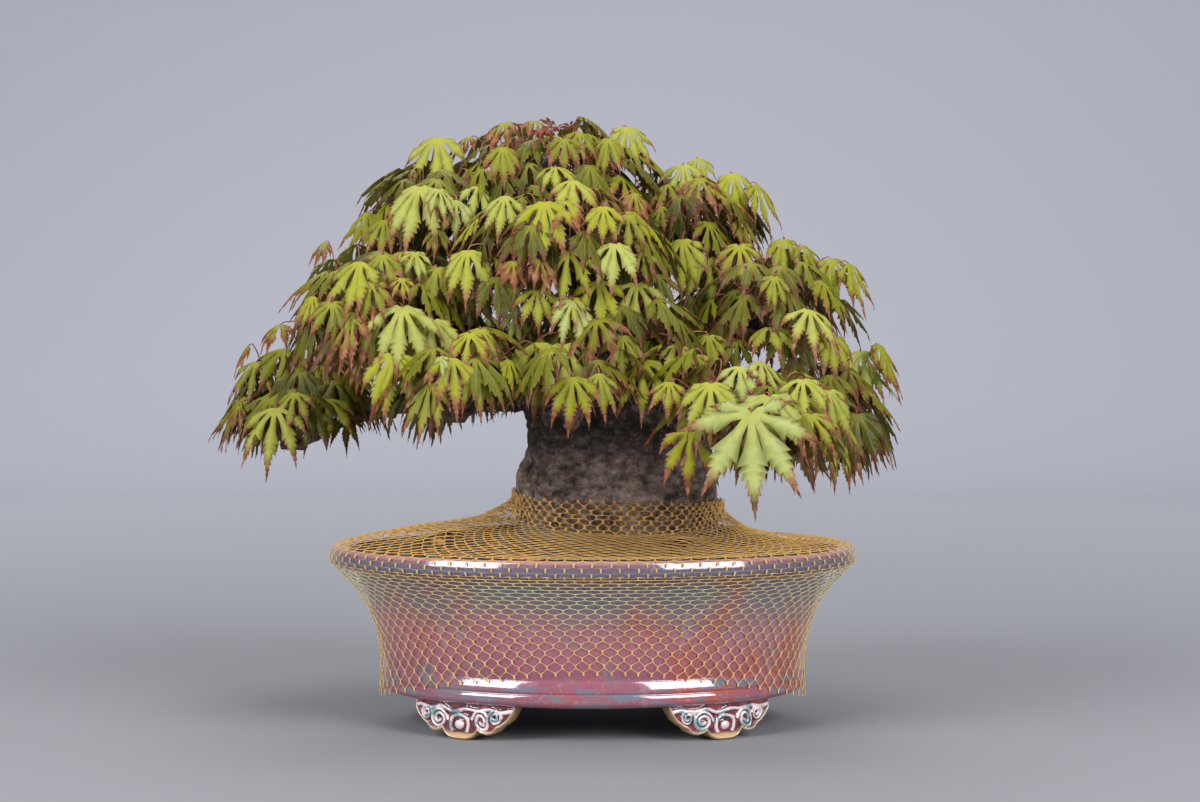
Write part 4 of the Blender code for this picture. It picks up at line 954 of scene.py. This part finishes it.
def twig_material():
    material, tree, shader = new_material("young_bark", 0.7)
    tone = noise_of(tree, place_of(tree), 500.0, 4.0)
    colour = ramp(tree, tone, ((0.35, (0.055, 0.030, 0.018)), (0.65, (0.150, 0.085, 0.050))))
    tree.links.new(colour, shader.inputs["Base Color"])
    bump(tree, shader, tone, 0.0002)
    return material


def stalk_material():
    material, tree, shader = new_material("red_stalk", 0.45)
    tone = noise_of(tree, place_of(tree), 120.0, 3.0)
    colour = ramp(tree, tone, ((0.35, (0.22, 0.045, 0.032)), (0.65, (0.38, 0.125, 0.060))))
    tree.links.new(colour, shader.inputs["Base Color"])
    return material


def tube_mesh(lines, depth):
    """Tubes along lines of (point, radius), as one mesh."""
    curve = bpy.data.curves.new("tubes", "CURVE")
    curve.dimensions = "3D"
    curve.bevel_depth = depth
    curve.bevel_resolution = 0
    curve.use_fill_caps = True
    for line in lines:
        spline = curve.splines.new("POLY")
        spline.points.add(len(line) - 1)
        for point, (place, radius) in zip(spline.points, line):
            point.co = (*place, 1.0)
            point.radius = radius
    guide = add_object("tubes", curve)
    mesh = bpy.data.meshes.new_from_object(guide.evaluated_get(bpy.context.evaluated_depsgraph_get()))
    bpy.data.objects.remove(guide)
    return mesh


def bowed(start, end, handle, radii, parts):
    """A line from start to end that leans to a handle, as (point, radius)."""
    line = []
    for i in range(parts + 1):
        t = i / parts
        point = start.lerp(handle, t).lerp(handle.lerp(end, t), t)
        line.append((point, radii[0] + (radii[1] - radii[0]) * t))
    return line


TWIG_RADII = (0.0017, 0.0008)
STALK_RADII = (0.00034, 0.00026)
LEAVES_A_TWIG = 4
TWIG_REACH = 0.66
STUB_LENGTH = 0.009

templates = {}
for kind, fineness in FINENESS.items():
    for count, lobes in ((7, SEVEN_LOBES), (5, FIVE_LOBES)):
        mesh = leaf_template(f"{kind}_leaf_{count}", lobes, fineness)
        templates[kind, count] = (mesh, template_values(mesh), lobes)
leaf_top = leaf_material("leaf_upper_side")
leaf_under = leaf_material("leaf_underside", underside=True)
young_bark = twig_material()
red_stalk = stalk_material()


def sight_point(across, up, depth):
    """The place at a depth that the front view shows at (across, up) in the plane through the pot's middle."""
    share = (CAMERA_DISTANCE + depth) / CAMERA_DISTANCE
    return Vector((CAMERA_ASIDE + (across - CAMERA_ASIDE) * share, depth,
                   CAMERA_HEIGHT + (up - CAMERA_HEIGHT) * share))


def front_of_foliage(across, up):
    """The pad that shows there from the front, and the place on its dome."""
    seen = []
    for pad, (middle, half, _) in PADS.items():
        depth = middle[1] - 0.7 * half[1]
        for _ in range(4):
            place = sight_point(across, up, depth)
            away = ((place.x - middle[0]) / half[0]) ** 2 + ((place.z - middle[2]) / half[2]) ** 2
            depth = middle[1] - half[1] * math.sqrt(max(1 - away, 0))
        seen.append((away > 1.1, away if away > 1.1 else depth, pad, place))
    return min(seen)[2:]


def grown_leaf(kind, place, turn, length, droop, draw, dress, spread=None):
    """A leaf where it springs: its shape, and the points, lightness and redness of all its corners."""
    mesh, values, lobes = templates[kind, 7 if spread or draw.random() < 0.6 else 5]
    points = hung_leaf(values, lobes, place, turn, length, droop, spread or draw.uniform(*LOBE_SPREADS), draw)
    count = len(points)
    tone = np.full(count, dress[0] + draw.uniform(-0.07, 0.07))
    flush = np.full(count, dress[1] + draw.uniform(-0.10, 0.10))
    return {"mesh": mesh, "place": place, "turn": turn, "points": points, "tone": tone, "flush": flush}


def over_hem(leaf):
    """How far a leaf's lowest point hangs above the hem of the foliage, as the front view shows both."""
    across, deep, up = leaf["points"][leaf["points"][:, 2].argmin()]
    share = CAMERA_DISTANCE / (CAMERA_DISTANCE + deep)
    shown = CAMERA_HEIGHT + (up - CAMERA_HEIGHT) * share
    return shown - interpolate(HEM, CAMERA_ASIDE + (across - CAMERA_ASIDE) * share)


LOBE_SPREADS = (0.76, 1.04)
LEADING_SCALE = 1.15
OPEN_FORWARD = 0.008  # how far the widest leaf stands out before the others
leading = {pad: [] for pad in PADS}
for k, (across, up, length, aside, pitch, dress) in enumerate(LEADING_LEAVES):
    draw = random.Random(f"leading {k}")
    pad, place = front_of_foliage(across / 1000, up / 1000)
    turn = (Matrix.Rotation(math.radians(aside - 90), 3, "Z") @ Matrix.Rotation(math.radians(pitch), 3, "Y")
            @ Matrix.Rotation(draw.uniform(-0.15, 0.15), 3, "X"))
    if dress == "open":
        place = place - Vector((0, OPEN_FORWARD, 0))
    size = LEADING_SCALE * length / 1000 * (CAMERA_DISTANCE + place.y) / CAMERA_DISTANCE
    droop, spread = (draw.uniform(0.20, 0.35), 1.05) if dress == "open" else (draw.uniform(0.66, 0.86), None)
    leading[pad].append(grown_leaf("front", place, turn, size, droop, draw, DRESSES[dress], spread))


def all_leaves(pad):
    """The pad's leading leaves, then the ones behind and between them, where there is room."""
    middle = Vector(PADS[pad][0])
    leaves = list(leading[pad])
    taken = [leaf["place"] for others in leading.values() for leaf in others]
    for spacing, depth, light in LAYERS:
        for place, turn, level, draw in leaf_places(pad, spacing):
            front = place.y < middle.y
            if front or depth < 0.6:
                place = middle + (place - middle) * depth
            if any((place - other).length < LEAST_APART for other in taken):
                continue
            # Painted shade: fill leaves on a pad's front, between the leading leaves, are mostly dark.
            tone = light * (draw.betavariate(1.6, 3.6) if front else draw.betavariate(2.2, 2.0))
            pose = leaf_pose(pad, place, turn, level, draw)
            leaf = grown_leaf("inner" if depth < 0.6 else "outer", *pose, (tone, draw.betavariate(1.7, 2.4)))
            lift = -over_hem(leaf)
            if lift > MOST_LIFT:
                continue
            if lift > 0:
                leaf["points"][:, 2] += lift
                leaf["place"] = place + Vector((0, 0, lift))
            taken.append(leaf["place"])
            leaves.append(leaf)
    return leaves


def leaves_piece(pad, grown):
    """All the leaves of a pad as one piece, each on its own tone."""
    bm = bmesh.new()
    for leaf in grown:
        bm.from_mesh(leaf["mesh"])
    made = bpy.data.meshes.new(f"{pad}_leaves")
    bm.to_mesh(made)
    bm.free()
    points = np.concatenate([leaf["points"] for leaf in grown]) + np.array(POT_MIDDLE)
    made.vertices.foreach_set("co", points.astype(np.float32).ravel())
    for key in ("tone", "flush"):
        layer = made.attributes.new(key, "FLOAT", "POINT")
        layer.data.foreach_set("value", np.concatenate([leaf[key] for leaf in grown]).astype(np.float32))
    made.materials.append(leaf_top)
    made.materials.append(leaf_under)
    made.update()
    return add_object(f"{pad}_leaves", made)


def wood_piece(pad, grown):
    """The twigs of a pad, out of the end of its branch, and a stalk to every leaf."""
    middle, half, _ = PADS[pad]
    hub = Vector(middle) - Vector((0, 0, HUB_DROP * half[2]))
    out = Vector((hub.x - 0.012, hub.y, 0)).normalized()
    fork = hub + out * STUB_LENGTH * 0.6
    ordered = sorted(grown, key=lambda leaf: math.atan2(leaf["place"].y - hub.y, leaf["place"].x - hub.x))
    count = max(1, round(len(ordered) / LEAVES_A_TWIG))
    bounds = [round(i * len(ordered) / count) for i in range(count + 1)]
    twigs = [bowed(hub - out * 0.003, fork + out * 0.003, hub + out * 0.002, (0.0026, 0.0022), 2)]
    stalks = []
    for low, high in zip(bounds, bounds[1:]):
        group = ordered[low:high]
        mean = sum((leaf["place"] for leaf in group), Vector()) / len(group)
        end = fork.lerp(mean, TWIG_REACH)
        handle = fork.lerp(end, 0.5) - Vector((0, 0, 0.003))
        twigs.append(bowed(fork, end, handle, TWIG_RADII, 4))
        for i, leaf in enumerate(group):
            place, turn = leaf["place"], leaf["turn"]
            joint = fork.lerp(end, 0.96 - 0.14 * i)
            joint = joint - Vector((0, 0, 0.006)) * (0.96 - 0.14 * i) * (0.04 + 0.14 * i)
            behind = place - (turn @ Vector((1, 0, 0))) * 0.006 + Vector((0, 0, 0.0015))
            stalks.append(bowed(joint, place, behind, STALK_RADII, 5))
    bm = bmesh.new()
    bm.from_mesh(tube_mesh(twigs, 1.0))
    split = len(bm.faces)
    bm.from_mesh(tube_mesh(stalks, 1.0))
    bm.faces.ensure_lookup_table()
    for face in bm.faces[split:]:
        face.material_index = 1
    piece = piece_from(bm, f"{pad}_twigs", young_bark)
    piece.data.materials.append(red_stalk)
    return piece


for pad in PADS:
    grown = all_leaves(pad)
    print(pad, len(grown))
    for piece, slot in ((leaves_piece(pad, grown), "leaf"), (wood_piece(pad, grown), "bark")):
        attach(piece, "root")
        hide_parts(pad)

# Net: knotless twine, looped into small diamonds. It is stretched from the base band up over the rim and
# the soil, gathered round the trunk's foot, and stands off the wall where the wall curves in.
NET_COLUMNS = 84
# Where two yarns cross and half way between: on the pot's wall, its rim, the soil and the trunk
YARN_RADII = ((0.00023, 0.00010), (0.00019, 0.00004), (0.00018, 0.00018), (0.00050, 0.00014))
NODE_HALF_LENGTH = 0.00075
NODE_HALF_GAP = 0.00019
NET_OFF = 0.00035
NET_EDGE_ENDS = 0.0130
NET_EDGE_SIDES = 0.0310
NET_DOWN = ((0.0745, 0.1195), (0.0690, 0.1148), (0.0610, 0.1068), (0.0512, 0.1013), (0.0403, 0.0980),
            (0.0293, 0.0964), (0.0230, 0.0966), (0.0120, 0.0970))
NET_OVER_RIM = ((0.1195, 0.0760), (0.1196, 0.0780), (0.1191, 0.0797), (0.1178, 0.0809))
# From the rim to the trunk: (share of the way, height at the front and back, height at the ends)
NET_IN = ((0.00, 0.0809, 0.0809), (0.15, 0.0818, 0.0832), (0.43, 0.0848, 0.0861), (0.63, 0.0866, 0.0883),
          (0.80, 0.0876, 0.0907), (0.91, 0.0880, 0.0950), (0.99, 0.0884, 0.0985), (1.00, 0.0905, 0.0995),
          (1.00, 0.1020, 0.1030))
WALL_ROWS = 20
RIM_ROWS = 3
SOIL_ROWS = 21
TRUNK_ROWS = 6
WALL_CROWDING = 0.38  # how much the rows close up towards the rim
WALL_DRIFT = 0.045  # how far the columns lean aside on their way down the wall, in radians
TRUNK_MIDDLE = Vector((0.010, 0, 0))
TRUNK_HALF = (0.0476, 0.0418)
TRUNK_GATHER = -0.38  # how much closer the columns stand at the trunk's sides than at its front and back
TENT_LEAN = 0.0026  # how much higher the net meets the trunk on its left


def net_lines(turn):
    """The net's own line from its lower edge to the trunk at one turn, as four stretches of points."""
    edge = NET_EDGE_ENDS + (NET_EDGE_SIDES - NET_EDGE_ENDS) * abs(math.sin(turn)) ** 1.6
    heights = [edge + (NET_DOWN[0][0] - edge) * i / 16 for i in range(17)]
    wall = []
    for i, height in enumerate(heights):
        drift = WALL_DRIFT * math.sin(1.7 * turn + 0.9) * (1 - i / 16)
        wall.append(oval_point(interpolate(NET_DOWN, height) + NET_OFF, turn + drift, height))
    rim = [wall[-1], *(oval_point(half + NET_OFF, turn, height) for half, height in NET_OVER_RIM)]
    round_trunk = turn + TRUNK_GATHER * math.sin(2 * turn)
    swell = 1 + 0.030 * math.cos(3 * round_trunk + 0.6) + 0.022 * math.cos(5 * round_trunk - 1.1)
    at_trunk = TRUNK_MIDDLE + Vector((TRUNK_HALF[0] * swell * math.cos(round_trunk),
                                      TRUNK_HALF[1] * swell * math.sin(round_trunk), 0))
    inner = []
    for share, across, at_ends in NET_IN:
        point = oval_point(NET_OVER_RIM[-1][0], turn).lerp(at_trunk, share)
        point.z = across + (at_ends - across) * math.cos(turn) ** 2 + NET_OFF - TENT_LEAN * math.cos(turn) * min(share / 0.4, 1)
        for (x, y), lift in CLODS:
            point.z += lift * math.exp(-((point.x - x) ** 2 + (point.y - y) ** 2) / 0.007**2)
        inner.append(point)
    return wall, rim, inner[:-2], inner[-3:]


def along_line(points, share):
    """The point at a share of a line's length."""
    lengths = [(b - a).length for a, b in zip(points, points[1:])]
    left = share * sum(lengths)
    for a, b, length in zip(points, points[1:], lengths):
        if left <= length:
            return a.lerp(b, left / max(length, 1e-9))
        left -= length
    return points[-1].copy()


def net_material():
    material, tree, shader = new_material("tan_twine", 0.62)
    tone = noise_of(tree, place_of(tree), 240.0, 3.0)
    colour = ramp(tree, tone, ((0.3, (0.62, 0.37, 0.085)), (0.6, (0.78, 0.50, 0.16)), (0.85, (0.86, 0.64, 0.27))))
    height = node(tree, "ShaderNodeSeparateXYZ", {"Vector": place_of(tree)}).outputs["Z"]
    on_grey = math_node(tree, "MULTIPLY", between(tree, height, 0.050, 0.064), math_node(
        tree, "SUBTRACT", 1.0, between(tree, height, 0.0705, 0.0725)))
    colour = mix(tree, math_node(tree, "MULTIPLY", on_grey, 0.6), colour, (0.70, 0.66, 0.38))
    on_soil = between(tree, height, 0.0790, 0.0815)
    colour = mix(tree, math_node(tree, "MULTIPLY", on_soil, 0.6), colour, (0.88, 0.48, 0.095))
    soiled = between(tree, noise_of(tree, place_of(tree), 420.0, 2.0), 0.44, 0.58)
    on_trunk = math_node(tree, "MULTIPLY", between(tree, height, 0.0885, 0.0915), 0.62)
    colour = mix(tree, math_node(tree, "MULTIPLY", soiled, on_trunk), colour, (0.300, 0.165, 0.055))
    tree.links.new(colour, shader.inputs["Base Color"])
    shader.inputs["Sheen Weight"].default_value = 0.3
    bump(tree, shader, noise_of(tree, place_of(tree), 4000.0, 2.0), 0.00004)
    return material


TURN_STEPS = 720
turns = np.linspace(0, 2 * math.pi, TURN_STEPS + 1)
ring = np.stack([np.cos(turns), DEPTH_RATIO * np.sin(turns)], axis=1)
walked = np.concatenate([[0], np.linalg.norm(np.diff(ring, axis=0), axis=1).cumsum()])
even_turns = np.interp(np.linspace(0, walked[-1], 2 * NET_COLUMNS + 1), walked, turns)[:-1]
net_rows = []
stretches = ((0, WALL_ROWS), (1, RIM_ROWS), (2, SOIL_ROWS), (3, TRUNK_ROWS))
steps = [(which, i / rows) for which, rows in stretches for i in range(rows)] + [(3, 1.0)]
lines_by_turn = [net_lines(turn) for turn in even_turns]
draw = random.Random("net")
for j, (which, share) in enumerate(steps):
    row = []
    for i in range(NET_COLUMNS):
        k = (2 * i + j % 2) % (2 * NET_COLUMNS)
        way = share + WALL_CROWDING * share * (1 - share) if which == 0 else share
        point = along_line(lines_by_turn[k][which], way)
        turn = even_turns[k]
        around = Vector((-math.sin(turn), math.cos(turn), 0))
        outward = Vector((math.cos(turn), math.sin(turn), 0))
        point = point + around * draw.gauss(0, 0.00022)
        if which == 3:
            point += outward * abs(draw.gauss(0, 0.0005)) + Vector((0, 0, draw.gauss(0, 0.0003)))
        row.append(point)
    net_rows.append(row)


def node_of(column, j):
    """The node at a column and row. Odd rows lie half a column on."""
    return net_rows[j][column % NET_COLUMNS]


yarns = []
for i in range(NET_COLUMNS):
    for lean in (0, -1):
        line = []
        for j in range(len(net_rows)):
            column = i if j % 2 == 0 else i + lean
            here = node_of(column, j)
            before = node_of(column, max(j - 2, j % 2))
            after = node_of(column, min(j + 2, len(net_rows) - 1 - (len(net_rows) - 1 - j) % 2))
            way = (after - before).normalized()
            beside = node_of(column + 1, j) - node_of(column - 1, j)
            beside = beside.normalized() * NODE_HALF_GAP * (1 if (lean == 0) == (j % 2 == 1) else -1)
            reach = min(NODE_HALF_LENGTH, (after - before).length * 0.12)
            thick, thin = YARN_RADII[steps[j][0]]
            if steps[j][0] == 1:
                line.append((here - way * reach * 1.4 - beside, thin))
            elif line and thin < thick:
                line.append(((line[-1][0] + here - way * reach - beside) / 2, thin))
            line.append((here - way * reach - beside, thick))
            line.append((here + way * reach - beside, thick))
            if steps[j][0] == 1:
                line.append((here + way * reach * 1.4 - beside, thin))
        yarns.append(line)
bm = bmesh.new()
bm.from_mesh(tube_mesh(yarns, 1.0))
net_yarn = piece_from(bm, "net_yarn", net_material())
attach(net_yarn, "root")
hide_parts("net")
